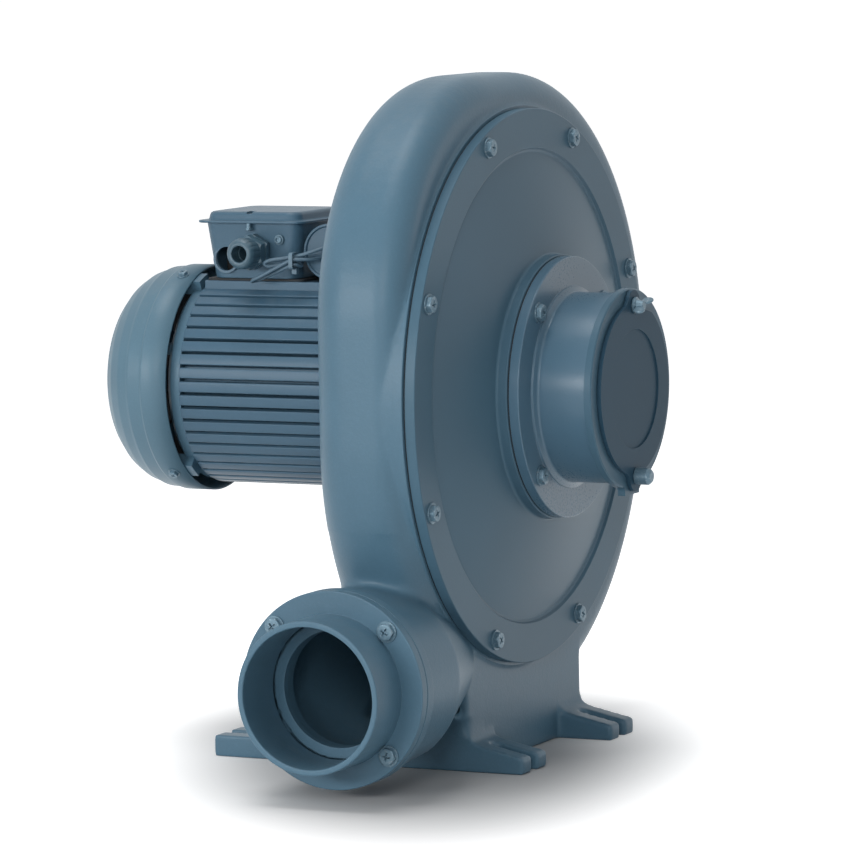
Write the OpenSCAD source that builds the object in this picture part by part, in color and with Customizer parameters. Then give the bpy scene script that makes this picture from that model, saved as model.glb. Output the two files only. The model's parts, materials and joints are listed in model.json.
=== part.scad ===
// Direct driven centrifugal blower: cast scroll casing on a footed pedestal, swing damper on the
// inlet, spigot on the outlet, and a finned electric motor behind.
// Frame: +Z up, shaft along Y, inlet towards -Y, outlet towards -X. The origin lies on the mounting
// plane, straight below the point where the shaft crosses the middle plane of the outlet.

/* [Casing] */
// Height of the shaft above the mounting plane
shaft_height = 312; // [305:1:360]
// Outside width of the casing between its front and rear walls
casing_width = 86; // [80:1:110]
// Reach of the scroll to the left of the shaft
scroll_left = 238.5; // [238:0.5:244]
// Reach of the scroll above the shaft
scroll_top = 263.5; // [260:0.5:275]
// Reach of the scroll to the right of the shaft
scroll_right = 284.5; // [283:0.5:298]
// Reach of the scroll below the shaft
scroll_bottom = 278; // [276:1:290]
// Radius of the scroll's upper right quarter
arc_up_right = 259; // [235:1:262]
// Radius of the scroll's upper left quarter
arc_up_left = 198; // [190:1:215]
// Radius of the scroll's lower left quarter
arc_low_left = 247; // [235:1:248]
// Radius of the scroll's lower right quarter
arc_low_right = 268; // [245:1:268]
// Thickness of the cast walls
wall = 7; // [5:0.5:9]
// Rounding of the casing's front edge
front_edge_r = 26; // [20:1:38]
// Rounding of the casing's rear edge
rear_edge_r = 38; // [20:1:38]
// Radius of the round opening that the front cover closes
opening_r = 212; // [208:1:216]
// Outside radius of the ring that carries the front cover
rim_ring_r = 237; // [236:0.5:238]
// Height of the cover's seat in front of the casing's front wall
rim_ring_h = 2; // [1:0.5:5]

/* [Pedestal and feet] */
// Width of the pedestal across the shaft
pedestal_w = 234; // [200:2:260]
// Thickness of the base plate
base_t = 18; // [14:1:24]
// Length of the base plate behind the casing
apron_len = 97; // [60:1:120]
// Width of each foot
foot_w = 50; // [44:1:60]
// Length of each foot beyond the pedestal
foot_len = 50; // [40:1:60]
// Thickness of a front foot at its end
foot_end_t = 13.5; // [10:0.5:17]
// Thickness of a front foot at its root
foot_root_t = 22; // [18:0.5:28]
// Width of the open slot in each foot
foot_slot_w = 11; // [9:0.5:14]
// Distance of the slots' closed ends from the foot's end
foot_slot_len = 35; // [24:1:38]
// Thickness of the ribs under the motor
gusset_t = 12; // [8:1:16]

/* [Outlet] */
// Outside diameter of the outlet spigot
spigot_od = 125; // [118:0.5:128]
// Wall of the outlet spigot
spigot_wall = 5; // [3:0.5:7]
// Length of the outlet spigot, flange included
spigot_len = 54; // [44:1:70]
// Diameter of the outlet flanges
outlet_flange_d = 162; // [161:1:170]
// Thickness of the inlet and outlet flanges
flange_t = 9; // [7:0.5:12]
// Diameter of the casing's outlet bore
outlet_bore_d = 96; // [90:1:100]
// Distance of the casing's outlet face from the shaft
outlet_face_x = 272; // [268:1:300]
// Depth of the outlet centre below the shaft
outlet_drop = 222; // [218:1:224]
// Outside diameter of the outlet neck
neck_d = 150; // [140:1:154]

/* [Front cover] */
// Diameter of the front cover
cover_d = 468; // [462:1:472]
// Thickness of the cover's rim
cover_t = 9; // [7:0.5:12]
// Bolt circle diameter of the front cover
cover_pcd = 444; // [440:1:448]
// Diameter of the recess in the front cover
recess_d = 400; // [390:1:408]
// Depth of the recess in the front cover
recess_depth = 3; // [2:0.5:4]
// Plate thickness of the cover inside the recess
cover_plate_t = 6; // [5:0.5:8]
// Rise of the cover's cone from the recess to the inlet boss
cone_rise = 19; // [12:1:26]
// Height of the inlet boss above the cone
boss_h = 9.5; // [7:0.5:14]
// Diameter of the inlet flange and of its boss
inlet_flange_d = 220; // [214:1:230]
// Bore diameter of the inlet
inlet_bore_d = 124; // [116:1:128]
// Gasket thickness
gasket_t = 1; // [0.5:0.5:2]

/* [Inlet pipe and damper] */
// Outside diameter of the inlet pipe
pipe_od = 160; // [154:1:164]
// Wall of the inlet pipe
pipe_wall = 8; // [6:0.5:10]
// Length of the inlet pipe in front of its flange
pipe_len = 47; // [40:1:80]
// Bolt circle diameter of the inlet flange
inlet_pcd = 192; // [189:1:196]
// Diameter of the damper seat
seat_d = 168; // [164:1:172]
// Thickness of the damper seat
seat_t = 6.5; // [5:0.5:9]
// Diameter of the damper plate
damper_d = 144; // [140:1:150]
// Thickness of the damper plate
damper_t = 3.6; // [3:0.2:5]
// Distance of the damper pivot inside the damper seat's edge
pivot_inset = 10.5; // [9:0.5:12]
// Distance of the wing screw inside the damper seat's edge
wing_inset = 14; // [13:0.5:16]
// Radius of the damper pivot's shank
pivot_r = 4; // [3:0.25:5]
// Gap between the damper plate and the faces beside it
damper_gap = 0.3; // [0.2:0.05:0.5]

/* [Impeller] */
// Outside diameter of the impeller
impeller_d = 400; // [380:2:412]
// Diameter of the impeller's eye
eye_d = 130; // [126:1:136]
// Number of blades
blade_count = 12; // [8:1:16]
// Thickness of the impeller's plates and blades
blade_t = 3; // [2:0.5:4]
// Distance between the shroud and the back plate at the rim
rim_gap = 23; // [18:1:28]
// Outside diameter of the hub
hub_d = 64; // [58:1:70]
// Diameter of the hub's flange
hub_flange_d = 110; // [100:1:120]

/* [Motor] */
// Outside radius over the fins
fin_r = 90.5; // [88:0.5:94]
// Height of the fins
fin_h = 10; // [7:0.5:12]
// Number of fins
fin_count = 48; // [40:2:50]
// Width of a fin
fin_w = 9.1; // [6:0.1:9.4]
// Length of the finned frame
frame_len = 168; // [150:1:190]
// Thickness of the frame's wall
frame_wall = 4.5; // [4:0.5:6]
// Length of the stator core
core_len = 105; // [90:1:115]
// Air gap between the rotor and the stator
air_gap = 0.5; // [0.4:0.1:0.8]
// Radius of the rotor
rotor_r = 47.5; // [42:0.5:50]
// Shaft radius at the impeller
shaft_r = 14; // [12:0.5:14.5]
// Depth of the front bell between the casing and the frame
front_bell_len = 26; // [24:1:34]
// Radius of the front bell's flange
bell_flange_r = 106; // [102:1:110]
// Width of the gap between two parts that turn against each other
running_gap = 0.1; // [0.05:0.01:0.1]

/* [Fan cover] */
// Outside radius of the fan cover
cowl_r = 98; // [97:0.5:101]
// Length of the fan cover
cowl_len = 81.5; // [78:0.5:95]
// Sheet thickness of the fan cover
cowl_t = 1.5; // [1:0.1:2]
// Distance of the fan cover's rim behind the frame
cowl_offset = 8.6; // [6:0.2:12]

/* [Terminal box] */
// Length of the terminal box along the shaft
box_len = 91; // [78:1:92]
// Width of the terminal box across the shaft
box_w = 90; // [84:1:96]
// Height of the terminal box
box_h = 48; // [42:1:56]
// Wall of the terminal box
box_t = 2.5; // [2:0.5:3]
// Height of the lid above its flange
lid_h = 9.5; // [7:0.5:14]
// Overhang of the lid's flange
lid_overhang = 6; // [5:0.5:9]
// Distance of the box's centre behind the front end of the frame
box_pos = 119; // [112:0.5:119.5]
// Radius of the capacitor
cap_r = 24; // [22:0.5:25]
// Length of the capacitor
cap_len = 78; // [70:1:84]

/* [Hidden] */
$fn = 96;
e = 0.01;
// How far a cutting shape reaches past the face that it cuts
past = 1;
// How far a fillet's arc cuts into what it runs into, so the arc crosses it at a small angle
fillet_bite = 0.05;

// Casing planes along the shaft
y_front = -casing_width / 2;
y_rear = casing_width / 2;
y_seat = y_front - rim_ring_h;
y_gasket = y_seat - gasket_t;
y_cover = y_gasket - cover_t;
inner_w = casing_width - 2 * wall;
core_r = 160;
passage_len = 170;
y_recess = y_cover + recess_depth;
y_boss_root = y_recess - cone_rise;
y_boss = y_boss_root - boss_h;
y_flange = y_boss - gasket_t;
y_pipe_root = y_flange - flange_t;
y_pipe_end = y_pipe_root - pipe_len;
y_seat_face = y_pipe_end - seat_t;
y_damper_back = y_seat_face - damper_gap;
y_damper_front = y_damper_back - damper_t;
y_clamp = y_damper_front - damper_gap;
pivot_drop = seat_d / 2 - pivot_inset;
wing_rise = seat_d / 2 - wing_inset;

// Outlet neck: it starts to narrow behind the cover's edge and ends beside the pedestal
neck_shoulder_x = cover_d / 2 - 36;
neck_throat_x = 106;
neck_wall = 9;

// Bolts: nominal radius, width across flats and head height
m8 = [4, 13, 5.5];
m6 = [3, 10, 4.2];
m5 = [2.5, 8, 3.6];
washer_r = 1.02 * m8[1] / sqrt(3);
hole_gap = 0.4;
thread_gap = 0.1;
// The spigot's screws stand just clear of its tube
outlet_pcd = spigot_od + 2 * washer_r + 1.8;
cover_bolts_n = 8;
flange_bolts_n = 4;
bolt_engage = 14;

// Impeller planes: the back plate sits behind the middle plane
back_plate_y = 14;
shroud_rim_y = back_plate_y - rim_gap;
eye_y = y_front + wall + 6;
eye_collar = 6;
hub_front_y = -16;
nozzle_gap = 2.5;
nozzle_t = 3.5;

// Motor stations along the shaft
y_frame = y_rear + front_bell_len;
y_frame_end = y_frame + frame_len;
frame_bore_r = fin_r - fin_h - frame_wall;
y_core = y_frame + (frame_len - core_len) / 2;
y_core_end = y_core + core_len;
register_len = 6;
register_gap = 0.1;
bell_spigot_r = 65;
bell_bolt_r = 96;
front_brg = [15, 31, 16];
rear_brg = [12.5, 26, 15];
y_front_brg = y_frame - 7;
y_rear_brg = y_frame_end - 10;
sleeve_r = 20;
core_shaft_r = 19;
fan_shaft_r = 11;
seal_r = 30;
seal_len = 8;
y_seal = y_rear + 2;
spring_t = 1.5;
bell_flange_t = 11;
bell_wall = 6;
rear_bell_t = 13;
rear_bell_r = fin_r - 2.5;
y_cowl = y_frame_end + cowl_offset;
y_cowl_end = y_cowl + cowl_len;
y_fan = y_frame_end + rear_bell_t + 7;
fan_t = 26;
fan_r = rear_bell_r - 8;
circlip_t = 1.2;
y_circlip = y_fan + fan_t - 7.5;
rear_bolt_r = rear_bell_r - 8;
rear_bolt_a = 67.5;
cowl_angles = [112, 232, 352];
lug_r = 8;
cowl_screw_y = y_cowl + 13;

// Terminal box: heights above the shaft
pad_z = fin_r - 3;
seat_pad_w = box_w - 8;
box_gasket_t = 2;
box_z = pad_z + box_gasket_t;
box_y = y_frame + box_pos;
box_taper = 4;
wire_hole_r = 14;
lid_flange_t = 2;
lid_z = box_z + box_h;
lid_screw_x = box_w / 2 + 3.2;
m3_r = 1.6;
gland_y = box_y - 4.5;
gland_z = box_z + 23.5;
gland_thread_r = 10;
gland_af = 27;
spare_y = box_y + 25;
spare_z = box_z + 17;
spare_r = 10.2;
earth_y = box_y - 27;
earth_z = box_z + 34;
cap_y = box_y - box_len / 2 - cap_r - 1.5;
cap_z = pad_z + cap_r + 1.8;
cap_x0 = -cap_len / 2;
clamp_t = 1.5;
clamp_ear = 8;
pad_y0 = cap_y - cap_r - clamp_ear - 2;
pad_y1 = box_y + box_len / 2 + 2;

paint = "#56707f";
paint_dark = "#44596a";
steel = "#9aa0a5";
zinc = "#8b949a";
dark_rubber = "#22262a";

// Places children on the shaft axis
module on_shaft() {
    translate([0, 0, shaft_height]) children();
}

// Turns a profile given as radius and station along the shaft
module turned(points) {
    rotate([-90, 0, 0]) rotate_extrude() polygon(points);
}

// Turns a two dimensional shape given as radius and station along the shaft
module revolved() {
    rotate([-90, 0, 0]) rotate_extrude() children();
}

// A straight rod along the shaft between two stations
module rod(r, y0, y1) {
    translate([0, y0, 0]) rotate([-90, 0, 0]) cylinder(r = r, h = y1 - y0);
}

// A ring along the shaft between two stations
module ring(r_in, r_out, y0, y1) {
    turned([[r_in, y0], [r_out, y0], [r_out, y1], [r_in, y1]]);
}

// Copies children n times round the shaft at radius r, the first one at angle a0
module around(n, r, a0) {
    for (i = [0 : n - 1]) {
        a = a0 + i * 360 / n;
        translate([r * cos(a), 0, r * sin(a)]) children();
    }
}

// A block between two corners
module block(low, high) {
    translate(low) cube(high - low);
}

// Hexagon screw: the head rises along +Z and the shank goes down from the origin
module hex_screw(size, len, socket = true) {
    r = size[0];
    across = size[1] / sqrt(3);
    head = size[2];
    washer_h = head * 0.28;
    difference() {
        union() {
            cylinder(r = across * 1.02, h = washer_h);
            translate([0, 0, washer_h - e]) cylinder(r = across, h = head - washer_h, $fn = 6);
        }
        if (socket) {
            for (a = [0, 90]) rotate([0, 0, a]) translate([-across * 0.62, -r * 0.14, head - 1.6])
                cube([across * 1.24, r * 0.28, 2]);
        }
    }
    translate([0, 0, -len]) cylinder(r = r, h = len + e);
}

// Half section with a rounded front edge and a rounded rear edge, set in by a wall
module edge_rounded(reach, cut) {
    y0 = y_front + cut;
    y1 = y_rear - cut;
    rf = front_edge_r - cut;
    rb = rear_edge_r - cut;
    rho = reach - cut;
    translate([0, y0]) square([rho - rf, rf]);
    translate([0, y0 + rf]) square([rho, y1 - rb - y0 - rf]);
    translate([0, y1 - rb]) square([rho - rb, rb]);
    translate([rho - rf, y0 + rf]) circle(r = rf);
    translate([rho - rb, y1 - rb]) circle(r = rb);
}

// Solid scroll, set in from the outer skin by a wall: four quarters joined by flats, counted from
// the upper right quarter and the right flat, counter-clockwise seen from the inlet
module scroll(cut) {
    r = [arc_up_right, arc_up_left, arc_low_left, arc_low_right];
    x = [scroll_right - r[0], r[1] - scroll_left, r[2] - scroll_left, scroll_right - r[3]];
    z = [scroll_top - r[0], scroll_top - r[1], r[2] - scroll_bottom, r[3] - scroll_bottom];
    reach = [scroll_right, scroll_top, scroll_left, scroll_bottom];
    flat_start = [[0, 0, z[3]], [x[0], 0, 0], [0, 0, z[1]], [x[2], 0, 0]];
    flat_len = [z[0] - z[3], x[0] - x[1], z[1] - z[2], x[3] - x[2]];
    for (k = [0 : 3]) {
        translate([x[k], 0, z[k]]) rotate([-90, 0, 0]) rotate([0, 0, -90 - 90 * k])
            rotate_extrude(angle = 90) edge_rounded(r[k], cut);
        translate(flat_start[k]) rotate([0, -90 * k, 0]) linear_extrude(flat_len[k])
            edge_rounded(reach[k], cut);
    }
    rod(core_r, y_front + cut, y_rear - cut);
}

// Round neck from the scroll to the outlet face, set in by a wall
module neck(cut) {
    r = neck_d / 2 - cut;
    throat_r = casing_width / 2 + 2 - cut;
    straight = outlet_face_x - neck_shoulder_x;
    taper = neck_shoulder_x - neck_throat_x;
    translate([-outlet_face_x, 0, -outlet_drop]) rotate([0, 90, 0]) rotate_extrude()
        polygon([[0, 0], [r, 0], [r, straight], [throat_r, straight + taper], [0, straight + taper]]);
}

// Front foot: side outline drawn along Y and Z and extruded across
module foot_outline() {
    root = foot_root_t + foot_fillet;
    difference() {
        polygon([[-foot_len, 0], [wall, 0], [wall, root], [0, root], [-foot_fillet, foot_root_t],
            [-foot_len, foot_end_t]]);
        translate([-foot_fillet, root + 0.6]) circle(r = foot_fillet);
    }
}

module front_foot() {
    translate([-foot_w / 2, y_front, 0]) rotate([90, 0, 90]) linear_extrude(foot_w) foot_outline();
}

module rear_foot() {
    block([-foot_w / 2, apron_end - e, 0], [foot_w / 2, rear_foot_end, base_t]);
}

// Open ended slot: dir is -1 for a front foot and +1 for a rear foot
module foot_slot(y_end, dir) {
    r = foot_slot_w / 2;
    y_closed = y_end - dir * foot_slot_len;
    y_past = y_end + dir * past;
    top = foot_root_t + foot_fillet * 2;
    translate([0, y_closed, -past]) cylinder(r = r, h = top + past);
    block([-r, min(y_closed, y_past), -past], [r, max(y_closed, y_past), top]);
}

foot_fillet = 10;
foot_x = pedestal_w / 2 - foot_w / 2;
apron_end = y_rear + apron_len;
rear_foot_end = apron_end + foot_len + 6;

// Rib under the motor, from the base plate up to the casing's rear wall
rib_top = shaft_height - 186 - base_t;
rib_foot = 12;

module gusset() {
    translate([-gusset_t / 2, y_rear - e, base_t - e]) rotate([90, 0, 90]) linear_extrude(gusset_t)
        polygon([[-wall, 0], [apron_len - rib_foot, 0], [apron_len - 2 * rib_foot, rib_foot / 2],
            [rib_foot / 2, rib_top], [-wall, rib_top]]);
}

module casing_outside() {
    on_shaft() {
        scroll(0);
        neck(0);
        ring(opening_r, rim_ring_r, y_seat, y_front + front_edge_r);
        translate([-outlet_face_x, 0, -outlet_drop]) rotate([0, 90, 0])
            cylinder(d = outlet_flange_d, h = flange_t + 2);
    }
    // Pedestal
    block([-pedestal_w / 2, y_front, 0], [pedestal_w / 2, y_rear, shaft_height - outlet_drop + 40]);
    block([-pedestal_w / 2, y_rear - wall, 0], [pedestal_w / 2, apron_end, base_t]);
    for (s = [-1, 1]) translate([s * foot_x, 0, 0]) {
        front_foot();
        rear_foot();
        gusset();
    }
}

module casing_inside() {
    passage_top = -outlet_drop + outlet_bore_d / 2 - 2;
    passage_low = 2 * wall - scroll_bottom;
    on_shaft() {
        scroll(wall);
        // Passage from the bottom of the scroll to the outlet
        block([-passage_len, -inner_w / 2 + 1, passage_low], [0, inner_w / 2 - 1, passage_top]);
        neck(neck_wall);
        rod(opening_r, y_seat - past, y_front + wall + 6);
        rod(bell_spigot_r, y_rear - wall - past, y_rear + past);
    }
}

module volute_casing() {
    color(paint) difference() {
        casing_outside();
        difference() {
            casing_inside();
            // The face ring narrows the neck to the outlet bore
            on_shaft() translate([-outlet_face_x - past, 0, -outlet_drop]) rotate([0, 90, 0]) difference() {
                cylinder(d = neck_d + 10, h = face_ring_t + past);
                translate([0, 0, -past]) cylinder(d = outlet_bore_d, h = face_ring_t + 3 * past);
            }
        }
        on_shaft() {
            translate([-outlet_face_x - past, 0, -outlet_drop]) rotate([0, 90, 0])
                cylinder(d = outlet_bore_d, h = face_ring_t + 3 * past);
            // Threaded holes for the cover, the spigot and the motor
            around(cover_bolts_n, cover_pcd / 2, 22.5)
                rod(m8[0] + thread_gap, y_seat - past, y_seat + bolt_engage + 2);
            outlet_holes() translate([0, 0, -past]) cylinder(r = m8[0] + thread_gap, h = flange_t + past);
            around(flange_bolts_n, bell_bolt_r, 45)
                rod(m8[0] + thread_gap, y_rear - wall - past, y_rear + past);
        }
        for (s = [-1, 1]) translate([s * foot_x, 0, 0]) {
            foot_slot(y_front - foot_len, -1);
            foot_slot(rear_foot_end, 1);
        }
    }
}

// Depth of the ring that narrows the neck behind its face
face_ring_t = flange_t + 3;

// Places children at the outlet flange's holes, with local +Z into the casing
module outlet_holes() {
    for (i = [0 : flange_bolts_n - 1]) {
        a = 45 + i * 90;
        translate([-outlet_face_x, outlet_pcd / 2 * cos(a), -outlet_drop + outlet_pcd / 2 * sin(a)])
            rotate([0, 90, 0]) children();
    }
}

module cover_gasket() {
    color(dark_rubber) on_shaft() difference() {
        ring(opening_r + 0.5, cover_d / 2 - 0.6, y_gasket, y_seat);
        around(cover_bolts_n, cover_pcd / 2, 22.5) rod(m8[0] + hole_gap, y_gasket - past, y_seat + past);
    }
}

module front_cover() {
    r = cover_d / 2;
    rr = recess_d / 2;
    boss_r = inlet_flange_d / 2 + 1.5;
    bore_r = inlet_bore_d / 2;
    register_r = opening_r - 0.3;
    nozzle_r = eye_d / 2 - nozzle_gap;
    nozzle_end = eye_y + eye_collar;
    inner_rise = y_boss_root + cover_plate_t;
    color(paint) on_shaft() difference() {
        turned([[bore_r, y_boss], [boss_r - 1, y_boss], [boss_r, y_boss + 1], [boss_r, y_boss_root],
            [rr - 3, y_recess], [rr - 1, y_recess - 0.6], [rr + 1, y_cover], [r - 1, y_cover],
            [r, y_cover + 1], [r, y_gasket], [register_r, y_gasket], [register_r, y_seat + 3],
            [register_r - 6, y_seat + 3], [register_r - 6, y_recess + cover_plate_t],
            [rr - 3, y_recess + cover_plate_t],
            [boss_r - 4, inner_rise], [nozzle_r + 3, inner_rise], [nozzle_r, inner_rise + 6],
            [nozzle_r, nozzle_end], [nozzle_r - nozzle_t, nozzle_end], [bore_r - 3, y_boss_root + 4],
            [bore_r, y_boss + 1]]);
        around(cover_bolts_n, cover_pcd / 2, 22.5) rod(m8[0] + hole_gap, y_cover - past, y_seat + past);
        around(flange_bolts_n, inlet_pcd / 2, 45) rod(m8[0] + thread_gap, y_boss - past, y_boss + 12);
    }
}

module cover_bolts() {
    color(zinc) on_shaft() around(cover_bolts_n, cover_pcd / 2, 22.5)
        translate([0, y_cover, 0]) rotate([90, 0, 0]) hex_screw(m8, cover_t + gasket_t + bolt_engage);
}

module inlet_gasket() {
    color(dark_rubber) on_shaft() difference() {
        ring(inlet_bore_d / 2 + 0.5, inlet_flange_d / 2 - 0.5, y_flange, y_boss);
        around(flange_bolts_n, inlet_pcd / 2, 45) rod(m8[0] + hole_gap, y_flange - past, y_boss + past);
    }
}

module inlet_pipe() {
    r = pipe_od / 2;
    ri = r - pipe_wall;
    fr = inlet_flange_d / 2;
    step = 5;
    color(paint) on_shaft() difference() {
        turned([[ri, y_pipe_end], [r, y_pipe_end], [r, y_pipe_root - step + 1],
            [r + step, y_pipe_root - 1.5], [r + step, y_pipe_root], [fr - 1, y_pipe_root],
            [fr, y_pipe_root + 1], [fr, y_flange], [ri, y_flange]]);
        around(flange_bolts_n, inlet_pcd / 2, 45) rod(m8[0] + hole_gap, y_pipe_root - past, y_flange + past);
    }
}

module inlet_bolts() {
    color(zinc) on_shaft() around(flange_bolts_n, inlet_pcd / 2, 45)
        translate([0, y_pipe_root, 0]) rotate([90, 0, 0]) hex_screw(m8, flange_t + gasket_t + 10);
}

module damper_seat() {
    ri = pipe_od / 2 - pipe_wall - register_gap;
    seat_bore = inlet_bore_d / 2;
    sleeve_end = y_pipe_end + 2 * register_len;
    lug_r = 15;
    lug_drop = seat_d / 2 + 5;
    color(paint) on_shaft() difference() {
        union() {
            turned([[seat_bore, y_seat_face], [seat_d / 2 - 1, y_seat_face], [seat_d / 2, y_seat_face + 1],
                [seat_d / 2, y_pipe_end], [ri, y_pipe_end], [ri, sleeve_end], [ri - pipe_wall / 2, sleeve_end],
                [seat_bore, y_pipe_end + register_len]]);
            // Lug below the pivot, run into the seat's edge by a fillet on each side
            translate([0, y_seat_face, 0]) rotate([-90, 0, 0]) linear_extrude(seat_t) {
                translate([-lug_r, seat_d / 2 - 12]) square([2 * lug_r, lug_drop - seat_d / 2 + 12]);
                for (s = [-1, 1]) side_fillet(s, lug_r, seat_d / 2, 4);
            }
        }
        translate([0, 0, -pivot_drop]) rod(pivot_r + hole_gap, y_seat_face - past, y_pipe_end + past);
        translate([0, 0, wing_rise]) rod(m6[0] + running_gap, y_seat_face - past, y_pipe_end + past);
    }
}

// Fillet of radius f between a straight side at distance w from the axis and a disc of radius r
module side_fillet(side, w, r, f) {
    x = w + f;
    z = sqrt(pow(r + f, 2) - x * x);
    scale([side, 1]) difference() {
        polygon([[w - past, z - 2 * f], [x * r / (r + f), z * r / (r + f)], [x, z], [w, z], [w - past, z]]);
        translate([x, z]) circle(r = f + fillet_bite);
    }
}

// Fillet of radius f between a disc of radius r on the axis and an ear of radius ear at height h
module ear_fillet(side, r, h, ear, f) {
    z = (pow(r + f, 2) - pow(ear + f, 2) + h * h) / (2 * h);
    x = sqrt(pow(r + f, 2) - z * z);
    scale([side, 1]) difference() {
        polygon([[0, h - ear], [x * r / (r + f), z * r / (r + f)], [x, z],
            [x * ear / (ear + f), h + (z - h) * ear / (ear + f)]]);
        translate([x, z]) circle(r = f + fillet_bite);
    }
}

// The pivot's shank goes through the plate's eye into the seat, and its long head guides the plate
module damper_pivot() {
    head_r = 7.2;
    head_len = 14;
    color(zinc) on_shaft() translate([0, 0, -pivot_drop])
        turned([[0, y_pipe_end], [pivot_r, y_pipe_end], [pivot_r, y_clamp], [head_r, y_clamp],
            [head_r, y_clamp - head_len + 3], [head_r - 1, y_clamp - head_len + 1],
            [head_r - 3.5, y_clamp - head_len], [0, y_clamp - head_len]]);
}

module damper_plate() {
    r = damper_d / 2;
    ear_r = 13;
    slot_r = m6[0] + 0.5;
    swing_r = wing_rise + pivot_drop;
    color(paint_dark) on_shaft() difference() {
        translate([0, y_damper_back, 0]) rotate([90, 0, 0]) linear_extrude(damper_t) {
            circle(r = r);
            translate([0, wing_rise]) circle(r = ear_r);
            translate([0, -pivot_drop]) circle(r = ear_r);
            for (s = [-1, 1]) ear_fillet(s, r, wing_rise, ear_r, ear_r);
            rotate([0, 0, 180]) for (s = [-1, 1]) ear_fillet(s, r, pivot_drop, ear_r, ear_r);
        }
        // Shallow recess in the middle of the plate
        rod(r - 22, y_damper_front - past, y_damper_front + 1.4);
        translate([0, 0, -pivot_drop])
            rod(pivot_r + running_gap / 2, y_damper_front - past, y_damper_back + past);
        // Hook slot: an arc about the pivot that opens to the right
        translate([0, 0, wing_rise]) rod(slot_r, y_damper_front - past, y_damper_back + past);
        translate([0, 0, -pivot_drop]) intersection() {
            ring(swing_r - slot_r, swing_r + slot_r, y_damper_front - past, y_damper_back + past);
            block([0, y_damper_front - 2 * past, swing_r - 2 * ear_r],
                [3 * ear_r, y_damper_back + 2 * past, swing_r + 2 * ear_r]);
        }
    }
}

module wing_screw() {
    wing = 15;
    knob_r = 7;
    knob_h = 9;
    color(zinc) on_shaft() translate([0, 0, wing_rise]) {
        turned([[0, y_pipe_end - damper_gap], [m6[0], y_pipe_end - damper_gap], [m6[0], y_clamp],
            [knob_r, y_clamp], [knob_r, y_clamp - 2], [knob_r - 2, y_clamp - 3],
            [knob_r - 2.8, y_clamp - knob_h], [0, y_clamp - knob_h]]);
        rotate([0, -20, 0]) for (s = [-1, 1]) scale([s, 1, 1]) wing_blade(wing);
    }
}

// One wing of the wing screw, a rounded tab clear of the plate
module wing_blade(len) {
    tip_r = 5;
    difference() {
        union() {
            block([2, y_clamp - 8, -1], [len - tip_r, y_clamp - 3, 1]);
            translate([len - tip_r, y_clamp - 8, -1]) cylinder(r = tip_r, h = 2);
        }
        block([-1, y_clamp - 3, -2], [len + 1, y_clamp + 20, 2]);
    }
}

module outlet_gasket() {
    color(dark_rubber) on_shaft() difference() {
        translate([-outlet_face_x - gasket_t, 0, -outlet_drop]) rotate([0, 90, 0]) difference() {
            cylinder(d = outlet_flange_d - 1, h = gasket_t);
            translate([0, 0, -past]) cylinder(d = outlet_bore_d + 1, h = gasket_t + 2 * past);
        }
        outlet_holes() translate([0, 0, -gasket_t - past])
            cylinder(r = m8[0] + hole_gap, h = gasket_t + 2 * past);
    }
}

module outlet_spigot() {
    ro = spigot_od / 2;
    fr = outlet_flange_d / 2;
    color(paint) on_shaft() difference() {
        translate([-outlet_face_x - gasket_t, 0, -outlet_drop]) rotate([0, -90, 0]) rotate_extrude()
            polygon([[ro - spigot_wall, 0], [fr, 0], [fr, flange_t - 1], [fr - 1, flange_t], [ro, flange_t],
                [ro, spigot_len - 1], [ro - 1, spigot_len], [ro - spigot_wall + 1, spigot_len],
                [ro - spigot_wall, spigot_len - 1]]);
        outlet_holes() translate([0, 0, -gasket_t - flange_t - past])
            cylinder(r = m8[0] + hole_gap, h = flange_t + 2 * past);
    }
}

module outlet_bolts() {
    color(zinc) on_shaft() outlet_holes() translate([0, 0, -gasket_t - flange_t]) rotate([180, 0, 0])
        hex_screw(m8, gasket_t + flange_t + flange_t - 1.5);
}

// Impeller
module impeller_hub() {
    hub_r = hub_d / 2;
    y0 = back_plate_y + blade_t;
    color(steel) on_shaft() difference() {
        turned([[shaft_r + 0.02, hub_front_y], [hub_r - 6, hub_front_y], [hub_r - 2, hub_front_y + 8],
            [hub_r, back_plate_y], [hub_r, y0], [hub_flange_d / 2, y0], [hub_flange_d / 2, y0 + hub_flange_t],
            [hub_r + 2, y0 + hub_flange_t], [hub_r, y0 + hub_flange_t + 2], [hub_r - 2, y_rear - wall - 2],
            [shaft_r + 0.02, y_rear - wall - 2]]);
        key_slot(0.1, hub_front_y - past, y_rear);
        around(rivets_n, rivet_circle_r, 0) rod(rivet_r + 0.1, y0 - past, y0 + hub_flange_t + past);
    }
}

hub_flange_t = 5;
rivets_n = 8;
rivet_r = 2.5;
rivet_circle_r = hub_flange_d / 2 - 10;
key_w = 8;
key_h = 7;

module key_slot(gap, y0, y1) {
    block([-key_w / 2 - gap, y0, shaft_r - 4], [key_w / 2 + gap, y1, shaft_r + key_h - 4 + gap]);
}

module impeller_back_plate() {
    color(steel) on_shaft() difference() {
        ring(hub_d / 2 + 0.05, impeller_d / 2, back_plate_y, back_plate_y + blade_t);
        around(rivets_n, rivet_circle_r, 0)
            rod(rivet_r + 0.1, back_plate_y - past, back_plate_y + blade_t + past);
    }
}

// Station of the shroud's inner face at radius r
shroud_slope = (shroud_rim_y - eye_y - blade_t) / (impeller_d / 2 - eye_d / 2);
function shroud_y(r) = shroud_rim_y - shroud_slope * (impeller_d / 2 - r);

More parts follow.
